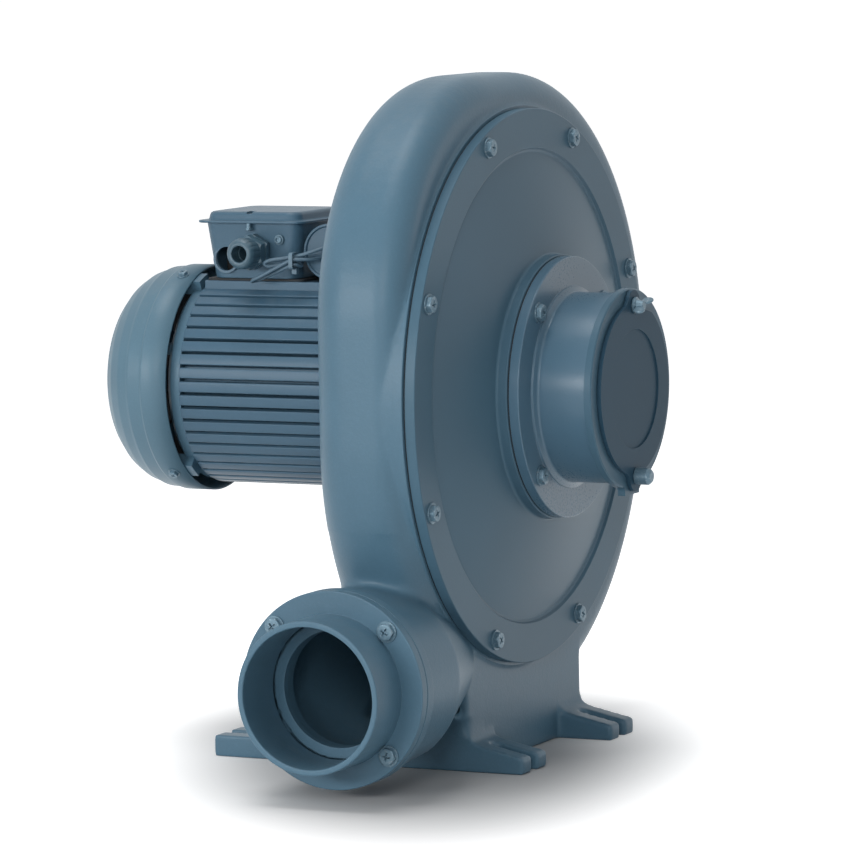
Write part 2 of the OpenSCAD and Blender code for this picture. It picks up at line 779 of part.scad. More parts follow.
module impeller_blades() {
    r0 = eye_d / 2 + 6;
    r1 = impeller_d / 2 - 1;
    bend = 165;
    lean = 118;
    color(steel) on_shaft() intersection() {
        rotate([-90, 0, 0]) for (i = [0 : blade_count - 1]) rotate([0, 0, i * 360 / blade_count])
            translate([0, 0, eye_y]) linear_extrude(back_plate_y - eye_y) intersection() {
                translate([lean, -lean * 0.95]) difference() {
                    circle(r = bend + blade_t / 2);
                    circle(r = bend - blade_t / 2);
                }
                difference() {
                    circle(r = r1);
                    circle(r = r0);
                }
                translate([-r1, 0]) square([r1 * 1.5, r1]);
            }
        turned([[r0 - past, shroud_y(r0 - past)], [r1 + past, shroud_y(r1 + past)], [r1 + past, back_plate_y],
            [r0 - past, back_plate_y]]);
    }
}

module impeller_shroud() {
    re = eye_d / 2;
    rr = impeller_d / 2;
    color(steel) on_shaft() turned([[re, eye_y - eye_collar], [re + blade_t, eye_y - eye_collar],
        [re + blade_t, eye_y - 1], [rr, shroud_rim_y - blade_t], [rr, shroud_rim_y], [re, eye_y + blade_t]]);
}

module impeller_rivets() {
    y0 = back_plate_y;
    y1 = back_plate_y + blade_t + hub_flange_t;
    head_r = rivet_r * 1.8;
    head_t = 1.6;
    color(zinc) on_shaft() around(rivets_n, rivet_circle_r, 0)
        turned([[0, y0 - head_t], [head_r, y0 - head_t], [head_r, y0], [rivet_r, y0], [rivet_r, y1],
            [head_r, y1], [head_r, y1 + head_t], [0, y1 + head_t]]);
}

module impeller_washer() {
    color(zinc) on_shaft() ring(m8[0] + 0.3, hub_d / 2 - 8, hub_front_y - 4, hub_front_y);
}

module impeller_bolt() {
    color(zinc) on_shaft() translate([0, hub_front_y - 4, 0]) rotate([90, 0, 0]) hex_screw(m8, 26, false);
}

module shaft_key() {
    color(steel) on_shaft() block([-key_w / 2, hub_front_y + 4, shaft_r - 4 + 0.05],
        [key_w / 2, back_plate_y + 14, shaft_r + key_h - 4]);
}

module shaft_sleeve() {
    color(steel) on_shaft() ring(shaft_r + 0.05, sleeve_r, y_rear - wall - 2, y_front_brg);
}

module motor_shaft() {
    r0 = shaft_r;
    r1 = front_brg[0];
    r2 = core_shaft_r;
    r3 = rear_brg[0];
    r4 = fan_shaft_r;
    groove_r = fan_shaft_r - 1.2;
    tip = hub_front_y + 2;
    tail = y_fan + fan_t - 2;
    color(steel) on_shaft() difference() {
        turned([[0, tip], [r0 - 1, tip], [r0, tip + 1], [r0, y_front_brg], [r1, y_front_brg],
            [r1, y_front_brg + front_brg[2]], [r2, y_front_brg + front_brg[2]], [r2, y_rear_brg],
            [r3, y_rear_brg], [r3, y_rear_brg + rear_brg[2]], [r4, y_rear_brg + rear_brg[2]],
            [r4, y_circlip - 0.1], [groove_r, y_circlip - 0.1], [groove_r, y_circlip + circlip_t + 0.1],
            [r4, y_circlip + circlip_t + 0.1], [r4, tail - 1], [r4 - 1, tail], [0, tail]]);
        rod(m8[0] + thread_gap, tip - past, tip + 28);
        key_slot(0.05, hub_front_y + 3.9, back_plate_y + 14.1);
    }
}

// Cage rotor: stacked core between two end rings that carry short vanes
module rotor_core() {
    end_ring_t = 9;
    vane_len = 8;
    ring_in = rotor_r - 14;
    ring_out = rotor_r - 3;
    color("#7f8488") on_shaft() {
        turned([[core_shaft_r + 0.02, y_core], [ring_in, y_core], [ring_in, y_core - end_ring_t],
            [ring_out, y_core - end_ring_t], [ring_out, y_core], [rotor_r, y_core], [rotor_r, y_core_end],
            [ring_out, y_core_end], [ring_out, y_core_end + end_ring_t], [ring_in, y_core_end + end_ring_t],
            [ring_in, y_core_end], [core_shaft_r + 0.02, y_core_end]]);
        for (a = [0 : 30 : 330], y = [y_core - end_ring_t - vane_len, y_core_end + end_ring_t - 1])
            rotate([0, a, 0]) block([ring_in + 1, y, -1.2], [ring_out - 2, y + vane_len + 1, 1.2]);
    }
}

// Motor housing
module shaft_seal() {
    color(dark_rubber) on_shaft() ring(sleeve_r + running_gap, seal_r, y_seal, y_seal + seal_len);
}

module front_bell() {
    brg_r = front_brg[1] + 0.05;
    hub_r = brg_r + bell_wall + 1;
    bell_r = fin_r - 1;
    spigot_r = bell_spigot_r - register_gap;
    y0 = y_rear - wall + 0.5;
    y1 = y_frame;
    y_web = y_rear + bell_flange_t + 2;
    y_brg_end = y_front_brg + front_brg[2];
    reg = frame_bore_r - register_gap;
    color(paint) on_shaft() difference() {
        turned([[sleeve_r + 2, y0], [spigot_r, y0], [spigot_r, y_rear], [bell_flange_r, y_rear],
            [bell_flange_r, y_rear + bell_flange_t], [bell_r, y_web + 2], [bell_r, y1], [reg, y1],
            [reg, y1 + register_len], [reg - bell_wall + 1, y1 + register_len], [reg - bell_wall - 1, y_web],
            [hub_r, y_web], [hub_r, y_brg_end], [brg_r, y_brg_end], [brg_r, y_front_brg],
            [sleeve_r + 6, y_front_brg], [sleeve_r + 6, y_seal + seal_len], [seal_r + 0.05, y_seal + seal_len],
            [seal_r + 0.05, y_seal], [sleeve_r + 2, y_seal]]);
        around(flange_bolts_n, bell_bolt_r, 45) {
            rod(m8[0] + hole_gap, y_rear - past, y_rear + bell_flange_t + past);
            rod(washer_r + 1.4, y_rear + bell_flange_t, y1 + past);
        }
    }
}

module front_bell_bolts() {
    color(zinc) on_shaft() around(flange_bolts_n, bell_bolt_r, 45)
        translate([0, y_rear + bell_flange_t, 0]) rotate([-90, 0, 0])
            hex_screw(m8, bell_flange_t + wall - 0.5, false);
}

// Rings of a ball bearing between radii ri and ro: the track is a torus of the balls
module bearing_ring(brg, y0, inner) {
    ri = brg[0];
    ro = brg[1];
    w = brg[2];
    mid = (ri + ro) / 2;
    ball = (ro - ri) * 0.29;
    land = (ro - ri) * 0.17;
    revolved() difference() {
        if (inner) translate([ri, y0]) square([mid - land - ri, w]);
        else translate([mid + land, y0]) square([ro - mid - land, w]);
        translate([mid, y0 + w / 2]) circle(r = ball + 0.06);
    }
}

module bearing_cage(brg, y0, count) {
    mid = (brg[0] + brg[1]) / 2;
    ball = (brg[1] - brg[0]) * 0.29;
    y_mid = y0 + brg[2] / 2;
    for (i = [0 : count - 1])
        rotate([0, i * 360 / count, 0]) translate([mid, y_mid, 0]) sphere(r = ball, $fn = 32);
    ring(mid - ball * 0.35, mid + ball * 0.35, y_mid - ball * 0.8, y_mid + ball * 0.8);
}

module front_bearing_outer() {
    color(steel) on_shaft() bearing_ring(front_brg, y_front_brg, false);
}

module front_bearing_inner() {
    color(steel) on_shaft() bearing_ring(front_brg, y_front_brg, true);
}

module front_bearing_cage() {
    color("#b08d57") on_shaft() bearing_cage(front_brg, y_front_brg, 9);
}

module rear_bearing_outer() {
    color(steel) on_shaft() bearing_ring(rear_brg, y_rear_brg, false);
}

module rear_bearing_inner() {
    color(steel) on_shaft() bearing_ring(rear_brg, y_rear_brg, true);
}

module rear_bearing_cage() {
    color("#b08d57") on_shaft() bearing_cage(rear_brg, y_rear_brg, 9);
}

module wave_spring() {
    y = y_rear_brg + rear_brg[2];
    color(steel) on_shaft() ring(rear_brg[1] - 5, rear_brg[1] - 1, y, y + spring_t);
}

module stator_frame() {
    color(paint) on_shaft() difference() {
        union() {
            translate([0, y_frame, 0]) rotate([-90, 0, 0]) linear_extrude(frame_len) union() {
                circle(r = fin_r - fin_h);
                for (i = [0 : fin_count - 1]) rotate([0, 0, i * 360 / fin_count]) fin_section();
            }
            block([-seat_pad_w / 2, pad_y0, 0], [seat_pad_w / 2, pad_y1, pad_z]);
        }
        rod(frame_bore_r, y_frame - past, y_frame_end + past);
        // Nothing of the fins stands above the pad where the box and the capacitor sit
        block([-fin_r, pad_y0, pad_z], [fin_r, pad_y1, fin_r + 5]);
        // Wires pass up into the box
        translate([0, box_y, frame_bore_r - 6]) cylinder(r = wire_hole_r, h = 40);
    }
}

// Flat fin with small chamfers at its edges, narrower at its root
module fin_section() {
    half = fin_w / 2;
    edge = 0.8;
    root = fin_r - fin_h - 1;
    polygon([[root, edge - half], [fin_r - edge, -half], [fin_r, edge - half], [fin_r, half - edge],
        [fin_r - edge, half], [root, half - edge]]);
}

module stator_core() {
    color("#6f757a") on_shaft() ring(rotor_r + air_gap, frame_bore_r - 0.02, y_core, y_core_end);
}

module stator_windings() {
    r0 = rotor_r + 4;
    r1 = frame_bore_r - 5;
    turn = 17;
    color("#a5622f") on_shaft() {
        for (y = [y_core - turn, y_core_end])
            turned([[r0, y], [r1 - 3, y], [r1, y + 3], [r1, y + turn - 3], [r1 - 3, y + turn],
                [r0 + 3, y + turn], [r0, y + turn - 3]]);
    }
}

module rear_bell() {
    y0 = y_frame_end;
    y1 = y0 + rear_bell_t;
    reg = frame_bore_r - register_gap;
    brg_r = rear_brg[1] + 0.05;
    hub_r = brg_r + bell_wall;
    spring_y = y_rear_brg + rear_brg[2] + spring_t;
    lip_y = spring_y + bell_wall / 2;
    color(paint) on_shaft() difference() {
        union() {
            turned([[reg, y0 - register_len], [reg, y0], [rear_bell_r, y0], [rear_bell_r, y1 - 4],
                [rear_bell_r - 4, y1], [hub_r + bell_wall, y1], [hub_r, lip_y], [rear_brg[0] + 1.5, lip_y],
                [rear_brg[0] + 1.5, spring_y], [brg_r, spring_y], [brg_r, y_rear_brg], [hub_r, y_rear_brg],
                [hub_r, y0 + bell_wall - 1], [reg - bell_wall + 1, y0 + bell_wall - 2],
                [reg - bell_wall + 1, y0 - register_len]]);
            // Three lugs that carry the fan cover on its inner side
            intersection() {
                rod(cowl_r - cowl_t, y0 + 2, cowl_screw_y + lug_r);
                for (a = cowl_angles) rotate([0, -a, 0])
                    block([rear_bell_r - 4, y0, -lug_r], [cowl_r, cowl_screw_y + 2 * lug_r, lug_r]);
            }
        }
        for (a = cowl_angles) rotate([0, -a, 0]) translate([rear_bell_r - 3, cowl_screw_y, 0])
            rotate([0, 90, 0]) cylinder(r = m5[0] + thread_gap, h = 20);
        around(flange_bolts_n, rear_bolt_r, rear_bolt_a) rod(m6[0] + hole_gap, y0 - past, y1 + past);
    }
}

module rear_bell_bolts() {
    color(zinc) on_shaft() around(flange_bolts_n, rear_bolt_r, rear_bolt_a)
        translate([0, y_frame_end + rear_bell_t, 0]) rotate([-90, 0, 0])
            hex_screw(m6, rear_bell_t - 1, false);
}

module cooling_fan() {
    blade_n = 7;
    fan_hub_r = fan_shaft_r + 8;
    color("#2b2f33") on_shaft() {
        turned([[fan_shaft_r + 0.05, y_fan], [fan_r - 12, y_fan], [fan_r - 12, y_fan + 3],
            [fan_hub_r, y_fan + 3], [fan_hub_r, y_circlip - 0.5], [fan_shaft_r + 0.05, y_circlip - 0.5]]);
        for (i = [0 : blade_n - 1]) rotate([0, i * 360 / blade_n, 0])
            block([fan_hub_r - 2, y_fan, -1.25], [fan_r, y_fan + fan_t, 1.25]);
    }
}

module fan_circlip() {
    color(steel) on_shaft() difference() {
        ring(fan_shaft_r - 1.1, fan_shaft_r + 3, y_circlip, y_circlip + circlip_t);
        block([-2 * fan_shaft_r, y_circlip - past, -3], [0, y_circlip + 2 * past, 3]);
    }
}

// Fan cover profile at a distance inside the outer skin
function cowl_profile(s) = let (r = cowl_r - s, y = y_cowl, z = y_cowl_end - s) [
    [r, y], [r, y + 24], [r - 1.5, y + 26.5], [r - 2, y + 38], [r - 3.5, y + 41 - s / 2],
    [r - 6.5, y + 50 - s / 2], [r - 13, y + 60 - s / 2], [r - 23, z - 12.5], [r - 38, z - 5],
    [r - 56, z - 1], [r - 64, z], [0, z]];

module fan_cover() {
    slot_w = 4;
    slot_pitch = 9;
    bridge = 2.5;
    inner = cowl_profile(cowl_t);
    color(paint) on_shaft() difference() {
        turned(concat(cowl_profile(0), [for (i = [len(inner) - 1 : -1 : 0]) inner[i]]));
        // Air slots in rings round the centre, parted by four bridges each
        for (k = [1 : 6]) intersection() {
            ring(slot_pitch * k, slot_pitch * k + slot_w, y_cowl_end - 10, y_cowl_end + past);
            rotate([0, 45 * k, 0]) for (a = [0, 90, 180, 270]) rotate([0, a, 0])
                block([bridge, y_cowl_end - 20, bridge], [fan_r, y_cowl_end + 2 * past, fan_r]);
        }
        for (a = cowl_angles) rotate([0, -a, 0]) translate([cowl_r - 10, cowl_screw_y, 0])
            rotate([0, 90, 0]) cylinder(r = m5[0] + hole_gap, h = 20);
    }
}

module fan_cover_screws() {
    color(zinc) on_shaft() for (a = cowl_angles) rotate([0, -a, 0]) translate([cowl_r, cowl_screw_y, 0])
        rotate([0, 90, 0]) hex_screw(m5, 9);
}

// Terminal box
module rounded_plate(l, w, r, h) {
    linear_extrude(h) union() {
        square([w - 2 * r, l], center = true);
        square([w, l - 2 * r], center = true);
        for (sx = [-1, 1], sy = [-1, 1])
            translate([sx * (w / 2 - r), sy * (l / 2 - r)]) circle(r = r, $fn = 32);
    }
}

module at_box() {
    on_shaft() translate([0, box_y, 0]) children();
}

module terminal_box_gasket() {
    color(dark_rubber) at_box() translate([0, 0, pad_z]) difference() {
        rounded_plate(box_len + 2, box_w - 10, 6, box_gasket_t);
        translate([0, 0, -past]) cylinder(r = wire_hole_r, h = box_gasket_t + 2 * past);
    }
}

module terminal_box() {
    color(paint) at_box() difference() {
        translate([0, 0, box_z]) box_shape(0);
        difference() {
            translate([0, 0, box_z]) box_shape(box_t);
            block([-box_w, -box_len, box_z - 1], [box_w, box_len, box_z + box_t]);
        }
        translate([0, 0, box_z - past]) cylinder(r = wire_hole_r, h = box_t + 2 * past);
        side_hole(gland_y, gland_z, gland_thread_r + 0.2);
        side_hole(spare_y, spare_z, spare_r);
        side_hole(earth_y, earth_z, m5[0] + thread_gap);
        // Hole for the capacitor's leads
        translate([-lead_hole_x, -box_len / 2 - 5, lead_hole_z]) rotate([-90, 0, 0])
            cylinder(r = lead_hole_r, h = 20);
    }
}

// Round hole through the left wall of the box
module side_hole(y, z, r) {
    translate([-box_w, y - box_y, z]) rotate([0, 90, 0]) cylinder(r = r, h = box_w / 2 + 12);
}

lead_hole_x = 34;
lead_hole_z = box_z + 16;
lead_hole_r = 5;

// Pressed box that narrows to its base, set in by a wall
module box_shape(cut) {
    low = 2 * (box_taper + cut);
    mid = 6 + 2 * cut;
    slice = 1;
    top = box_h - slice + (cut > 0 ? 1.5 : 0);
    hull() {
        translate([0, 0, cut > 0 ? -past : 0]) rounded_plate(box_len - low, box_w - low, 14 - cut, slice);
        translate([0, 0, box_h / 3]) rounded_plate(box_len - mid, box_w - mid, 12 - cut, slice);
        translate([0, 0, top]) rounded_plate(box_len - 2 * cut, box_w - 2 * cut, 10 - cut, slice);
    }
}

module terminal_box_lid() {
    l = box_len + 2 * lid_overhang;
    w = box_w + 2 * lid_overhang;
    color(paint) at_box() translate([0, 0, lid_z]) difference() {
        union() {
            rounded_plate(l, w, 12, lid_flange_t);
            hull() {
                rounded_plate(l - 4, w - 4, 12, lid_flange_t);
                rounded_plate(l - 22, w - 22, 10, lid_h);
            }
        }
        hull() {
            translate([0, 0, -past]) rounded_plate(box_len - 3, box_w - 3, 8, lid_flange_t);
            rounded_plate(l - 28, w - 28, 8, lid_h - 2.5);
        }
        // Notch in the top edge
        block([-w / 2 - past, -1, lid_h - 2], [-w / 2 + 18, 5, lid_h + past]);
        for (s = [-1, 1])
            translate([s * lid_screw_x, 0, -past]) cylinder(r = m3_r + 0.1, h = lid_h + 2 * past);
    }
}

module lid_screws() {
    stem = 4;
    color(zinc) at_box() for (s = [-1, 1]) translate([s * lid_screw_x, 0, lid_z]) rotate_extrude()
        polygon([[0, -stem - 2.2], [2.8, -stem - 2.2], [2.8, -stem], [2.2, -stem], [2.2, 0], [m3_r, 0],
            [m3_r, lid_flange_t], [0, lid_flange_t]]);
}

module terminal_block() {
    color("#c9b48a") at_box() translate([0, 0, box_z + box_t]) {
        block([-24, 16, 0], [24, 34, 12]);
        for (x = [-15, 0, 15], y = [20.5, 29.5]) translate([x, y, 12 - e]) cylinder(r = 2, h = 11);
    }
}

module at_gland() {
    on_shaft() translate([-box_w / 2 + 0.7, gland_y, gland_z]) rotate([0, -90, 0]) children();
}

module gland_body() {
    bore = 6.6;
    color(paint_dark) at_gland() difference() {
        union() {
            translate([0, 0, -box_t - 5]) cylinder(r = gland_thread_r, h = 8);
            translate([0, 0, 0.2]) cylinder(r = gland_af / sqrt(3), h = 7, $fn = 6);
            translate([0, 0, 7]) cylinder(r = gland_thread_r, h = 12);
            translate([0, 0, -box_t - 8]) cylinder(r = gland_af / sqrt(3) - 1, h = 4, $fn = 6);
        }
        translate([0, 0, -20]) cylinder(r = bore, h = 60);
    }
}

module gland_cap() {
    bore = 7.2;
    color(paint_dark) at_gland() difference() {
        union() {
            translate([0, 0, 8]) cylinder(r = gland_af / sqrt(3) - 0.4, h = 9, $fn = 6);
            translate([0, 0, 16.9]) rotate_extrude()
                polygon([[bore, 0], [13.4, 0], [13.4, 10], [12.6, 13], [11, 15], [9, 16], [bore, 16]]);
        }
        translate([0, 0, 7]) cylinder(r = gland_thread_r + 0.05, h = 12.2);
        translate([0, 0, 5]) cylinder(r = bore, h = 40);
    }
}

module earth_screw() {
    color(zinc) on_shaft() translate([-box_w / 2 - 0.2, earth_y, earth_z]) rotate([0, -90, 0])
        hex_screw(m5, 6);
}

module capacitor() {
    color("#3b4a55") on_shaft() translate([cap_x0, cap_y, cap_z]) rotate([0, 90, 0]) rotate_extrude()
        polygon([[0, 2], [cap_r - 2.5, 2], [cap_r - 2.5, 0], [cap_r, 0], [cap_r, 3], [cap_r - 0.8, 4.5],
            [cap_r - 0.8, cap_len - 2], [cap_r - 3, cap_len], [0, cap_len]]);
}

module capacitor_clamp() {
    r = cap_r - 0.8;
    w = 14;
    color(zinc) on_shaft() difference() {
        union() {
            translate([-w / 2, cap_y, cap_z]) rotate([0, 90, 0]) cylinder(r = r + clamp_t, h = w);
            block([-w / 2, cap_y - cap_r - clamp_ear, pad_z], [w / 2, cap_y + r, pad_z + clamp_t]);
            block([-w / 2, cap_y - r - clamp_t, pad_z], [w / 2, cap_y - r, cap_z]);
        }
        translate([-w, cap_y, cap_z]) rotate([0, 90, 0]) cylinder(r = r, h = 2 * w);
    }
}

// Leads: centre lines through round points, given from the shaft axis. Each runs from the capacitor
// through the tie, makes a loop and comes back through the tie into the box.
lead_r = 1.6;
lead_a = [[-37.3, 114, 118], [-43, 114.5, 118], [-49, 120, 116.5], [-54, 130, 113], [-56, 141.5, 110],
    [-58, 152, 108.5], [-60.5, 162, 107], [-61, 167, 104.5], [-59, 164, 101.8], [-56.5, 154, 103.6],
    [-55.5, 141.5, 106.4], [-52.8, 136.8, 107.2], [-48, 137.3, 107.4], [-43.5, 140.7, 107.4],
    [-40, 144, 107.2], [-37, 147.5, 107], [-36.2, 152, 107]];
lead_b = [[-37.3, 122, 108], [-43, 122.5, 108], [-50, 126, 108], [-56, 134, 107.8], [-59.5, 141.5, 107.6],
    [-62, 154, 101.5], [-63, 168, 94.5], [-62.3, 177, 90.6], [-59, 179.5, 88.9], [-55.5, 174, 90.6],
    [-57, 160, 96], [-58.8, 141.5, 103.4], [-53, 137, 102.2], [-45, 140, 103], [-38.5, 144, 103.4],
    [-33.4, 147.8, 104], [-32.3, 152, 104]];

function mix(a, b, c, d, t) = 0.5 * ((2 * b) + (c - a) * t + (2 * a - 5 * b + 4 * c - d) * t * t
    + (3 * b - a - 3 * c + d) * t * t * t);
function smooth_line(p, n) = concat([for (i = [0 : len(p) - 2], k = [0 : n - 1])
    mix(p[max(i - 1, 0)], p[i], p[i + 1], p[min(i + 2, len(p) - 1)], k / n)], [p[len(p) - 1]]);
function unit(v) = v / norm(v);
function tangent(p, i) = unit(p[min(i + 1, len(p) - 1)] - p[max(i - 1, 0)]);

// Tube along a line of points
module tube(p, r, sides) {
    n = len(p);
    rings = [for (i = [0 : n - 1]) let (t = tangent(p, i), u = unit(cross(t, [0.3, 0.1, 1])), v = cross(t, u))
        for (k = [0 : sides - 1]) p[i] + r * (cos(360 * k / sides) * u + sin(360 * k / sides) * v)];
    faces = concat([[for (k = [sides - 1 : -1 : 0]) k]], [[for (k = [0 : sides - 1]) (n - 1) * sides + k]],
        [for (i = [0 : n - 2], k = [0 : sides - 1]) let (a = i * sides + k, b = i * sides + (k + 1) % sides)
            [a, b, b + sides, a + sides]]);
    polyhedron(rings, faces);
}

module capacitor_leads() {
    color("#4c5a66") on_shaft() {
        tube(smooth_line(lead_a, 3), lead_r, 8);
        tube(smooth_line(lead_b, 3), lead_r, 8);
    }
}

// Tie round the four strands, with its lock below
module cable_tie() {
    tie_y = lead_a[4][1];
    half_w = 1.8;
    band = 1.3;
    low = [-62.1, tie_y - half_w, 101.1];
    high = [-52.9, tie_y + half_w, 112.7];
    color("#9fb0bd") on_shaft() {
        difference() {
            block(low - [band, 0, band], high + [band, 0, band]);
            block(low - [0, half_w, 0], high + [0, half_w, 0]);
        }
        block([high[0] - 3.5, tie_y - half_w - 0.7, low[2] - 6],
            [high[0] + band, tie_y + half_w + 0.7, low[2] - band / 2]);
    }
}

volute_casing();
cover_gasket();
front_cover();
cover_bolts();
inlet_gasket();
inlet_pipe();
inlet_bolts();
damper_seat();
damper_pivot();
damper_plate();
wing_screw();
outlet_gasket();
outlet_spigot();
outlet_bolts();
impeller_hub();
impeller_back_plate();
impeller_blades();
impeller_shroud();
impeller_rivets();
impeller_washer();
impeller_bolt();
shaft_key();
shaft_sleeve();
motor_shaft();
rotor_core();
shaft_seal();
front_bell();
front_bell_bolts();
front_bearing_outer();
front_bearing_inner();
front_bearing_cage();
stator_frame();
stator_core();
stator_windings();
rear_bell();
rear_bell_bolts();
rear_bearing_outer();
rear_bearing_inner();
rear_bearing_cage();
wave_spring();
cooling_fan();
fan_circlip();
fan_cover();
fan_cover_screws();
terminal_box_gasket();
terminal_box();
terminal_box_lid();
lid_screws();
terminal_block();
gland_body();
gland_cap();
earth_screw();
capacitor();
capacitor_clamp();
capacitor_leads();
cable_tie();
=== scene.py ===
import json
import math
import bmesh
import bpy
import numpy as np
from mathutils import Matrix, Vector

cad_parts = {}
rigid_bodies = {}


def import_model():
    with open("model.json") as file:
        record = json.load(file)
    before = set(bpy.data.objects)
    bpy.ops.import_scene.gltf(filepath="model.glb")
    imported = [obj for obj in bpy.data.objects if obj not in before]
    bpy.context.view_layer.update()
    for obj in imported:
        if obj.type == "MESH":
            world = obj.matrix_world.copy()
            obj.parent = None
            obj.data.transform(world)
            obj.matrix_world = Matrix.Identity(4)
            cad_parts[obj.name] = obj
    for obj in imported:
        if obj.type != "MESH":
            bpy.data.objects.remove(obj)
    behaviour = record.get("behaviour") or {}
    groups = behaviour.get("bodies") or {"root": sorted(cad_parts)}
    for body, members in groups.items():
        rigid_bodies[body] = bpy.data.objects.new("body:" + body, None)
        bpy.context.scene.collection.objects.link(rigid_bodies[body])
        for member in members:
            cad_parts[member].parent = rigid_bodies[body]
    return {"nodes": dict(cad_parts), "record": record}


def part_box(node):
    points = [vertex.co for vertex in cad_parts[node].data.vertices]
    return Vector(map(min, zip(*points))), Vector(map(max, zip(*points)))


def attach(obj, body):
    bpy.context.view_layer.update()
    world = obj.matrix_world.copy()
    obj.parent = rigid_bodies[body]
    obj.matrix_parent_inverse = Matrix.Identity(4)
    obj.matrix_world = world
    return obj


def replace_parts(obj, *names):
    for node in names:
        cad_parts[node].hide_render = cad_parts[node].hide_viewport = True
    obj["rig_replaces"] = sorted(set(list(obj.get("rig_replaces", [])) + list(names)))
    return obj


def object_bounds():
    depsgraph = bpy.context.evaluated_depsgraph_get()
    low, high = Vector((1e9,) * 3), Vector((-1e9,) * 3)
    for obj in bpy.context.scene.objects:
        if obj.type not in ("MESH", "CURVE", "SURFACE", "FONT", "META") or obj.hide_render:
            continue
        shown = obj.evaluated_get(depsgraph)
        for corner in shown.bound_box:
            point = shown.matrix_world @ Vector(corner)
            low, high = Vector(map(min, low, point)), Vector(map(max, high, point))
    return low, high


# Looks of the centrifugal blower: painted castings, turned parts, screws, and the motor behind
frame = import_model()
cad_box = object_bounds()
MM = 0.001


def span(node):
    """Lowest and highest corner of a CAD node, in millimetres."""
    low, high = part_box(node)
    return low / MM, high / MM


# Places along the shaft and across it, read from the frame
SHAFT_Z = (span("inlet_pipe")[0].z + span("inlet_pipe")[1].z) / 2
Y_GASKET, Y_SEAT = span("cover_gasket")[0].y, span("cover_gasket")[1].y
COVER_RIM = 9
Y_COVER = Y_GASKET - COVER_RIM
Y_BOSS = span("inlet_gasket")[1].y
Y_FLANGE, Y_PIPE_END = span("inlet_gasket")[0].y, span("inlet_pipe")[0].y
Y_MOTOR, Y_MOTOR_END = span("stator_frame")[0].y, span("stator_frame")[1].y
Y_COWL, Y_COWL_END = span("fan_cover")[0].y, span("fan_cover")[1].y
OUTLET_X = span("outlet_gasket")[1].x
OUTLET_Z = (span("outlet_gasket")[0].z + span("outlet_gasket")[1].z) / 2
PAD_Z, BOX_Z = span("terminal_box_gasket")[0].z, span("terminal_box")[0].z
LID_Z = span("terminal_box")[1].z
BOX_Y = (span("terminal_box_lid")[0].y + span("terminal_box_lid")[1].y) / 2
GLAND_Y, GLAND_Z = BOX_Y - 4.5, BOX_Z + 23.5
SPARE_Y, SPARE_Z, CABLE_HOLE_R = BOX_Y + 25, BOX_Z + 17, 10.2

# Sizes that several pieces share
PIVOT_UP, WING_UP = -73.5, 70
FLANGE_THICK = 9
COVER_SCREW_R, INLET_SCREW_R, SPIGOT_SCREW_R, BELL_SCREW_R = 222, 96, 71.06, 96
M8_HEAD, M5_HEAD = (13, 5.5), (8, 4)
NECK_ROOT = ((-246, -84), (-44.2, 90), (-70, 120))
NECK_BORE = 62


# Camera and light

def stand_camera():
    """The camera at the photograph's place: left of the inlet and a little above the shaft."""
    turn, rise, roll = math.radians(-64.55), math.radians(5.9), math.radians(-0.93)
    back = Vector((math.sin(turn) * math.cos(rise), -math.cos(turn) * math.cos(rise), math.sin(rise)))
    right = Vector((math.cos(turn), math.sin(turn), 0))
    up = back.cross(right)
    right, up = (math.cos(roll) * right + math.sin(roll) * up, math.cos(roll) * up - math.sin(roll) * right)
    view = bpy.data.cameras.new("camera")
    view.sensor_fit, view.sensor_width = "HORIZONTAL", 36
    focal, width = 5200, 862
    view.lens = focal / width * view.sensor_width
    view.clip_start, view.clip_end = 0.1, 200
    camera = bpy.data.objects.new("camera", view)
    place = Matrix((right, up, back)).transposed().to_4x4()
    place.translation = Vector((-3985.0, -1854.5, 414.4 + SHAFT_Z)) * MM
    camera.matrix_world = place
    bpy.context.collection.objects.link(camera)
    bpy.context.scene.camera = camera
    bpy.context.scene.view_settings.view_transform = "Standard"


stand_camera()


# Finishes

class Field:
    """A value that varies over a surface. Arithmetic on it adds Math nodes to its recipe."""

    def __init__(self, recipe, socket):
        self.recipe, self.socket = recipe, socket

    def math(self, operation, *values):
        return self.recipe.node("ShaderNodeMath", {"operation": operation}, dict(enumerate(values)))

    def __add__(self, other):
        return self.math("ADD", self, other)

    def __sub__(self, other):
        return self.math("SUBTRACT", self, other)

    def __rsub__(self, other):
        return self.math("SUBTRACT", other, self)

    def __mul__(self, other):
        return self.math("MULTIPLY", self, other)

    def between(self, low, high):
        """0 below low, 1 above high, smooth between them."""
        return self.recipe.node("ShaderNodeMapRange", {"interpolation_type": "SMOOTHSTEP"},
                                {0: self, 1: low, 2: high, 3: 0.0, 4: 1.0})

    __radd__ = __add__
    __rmul__ = __mul__


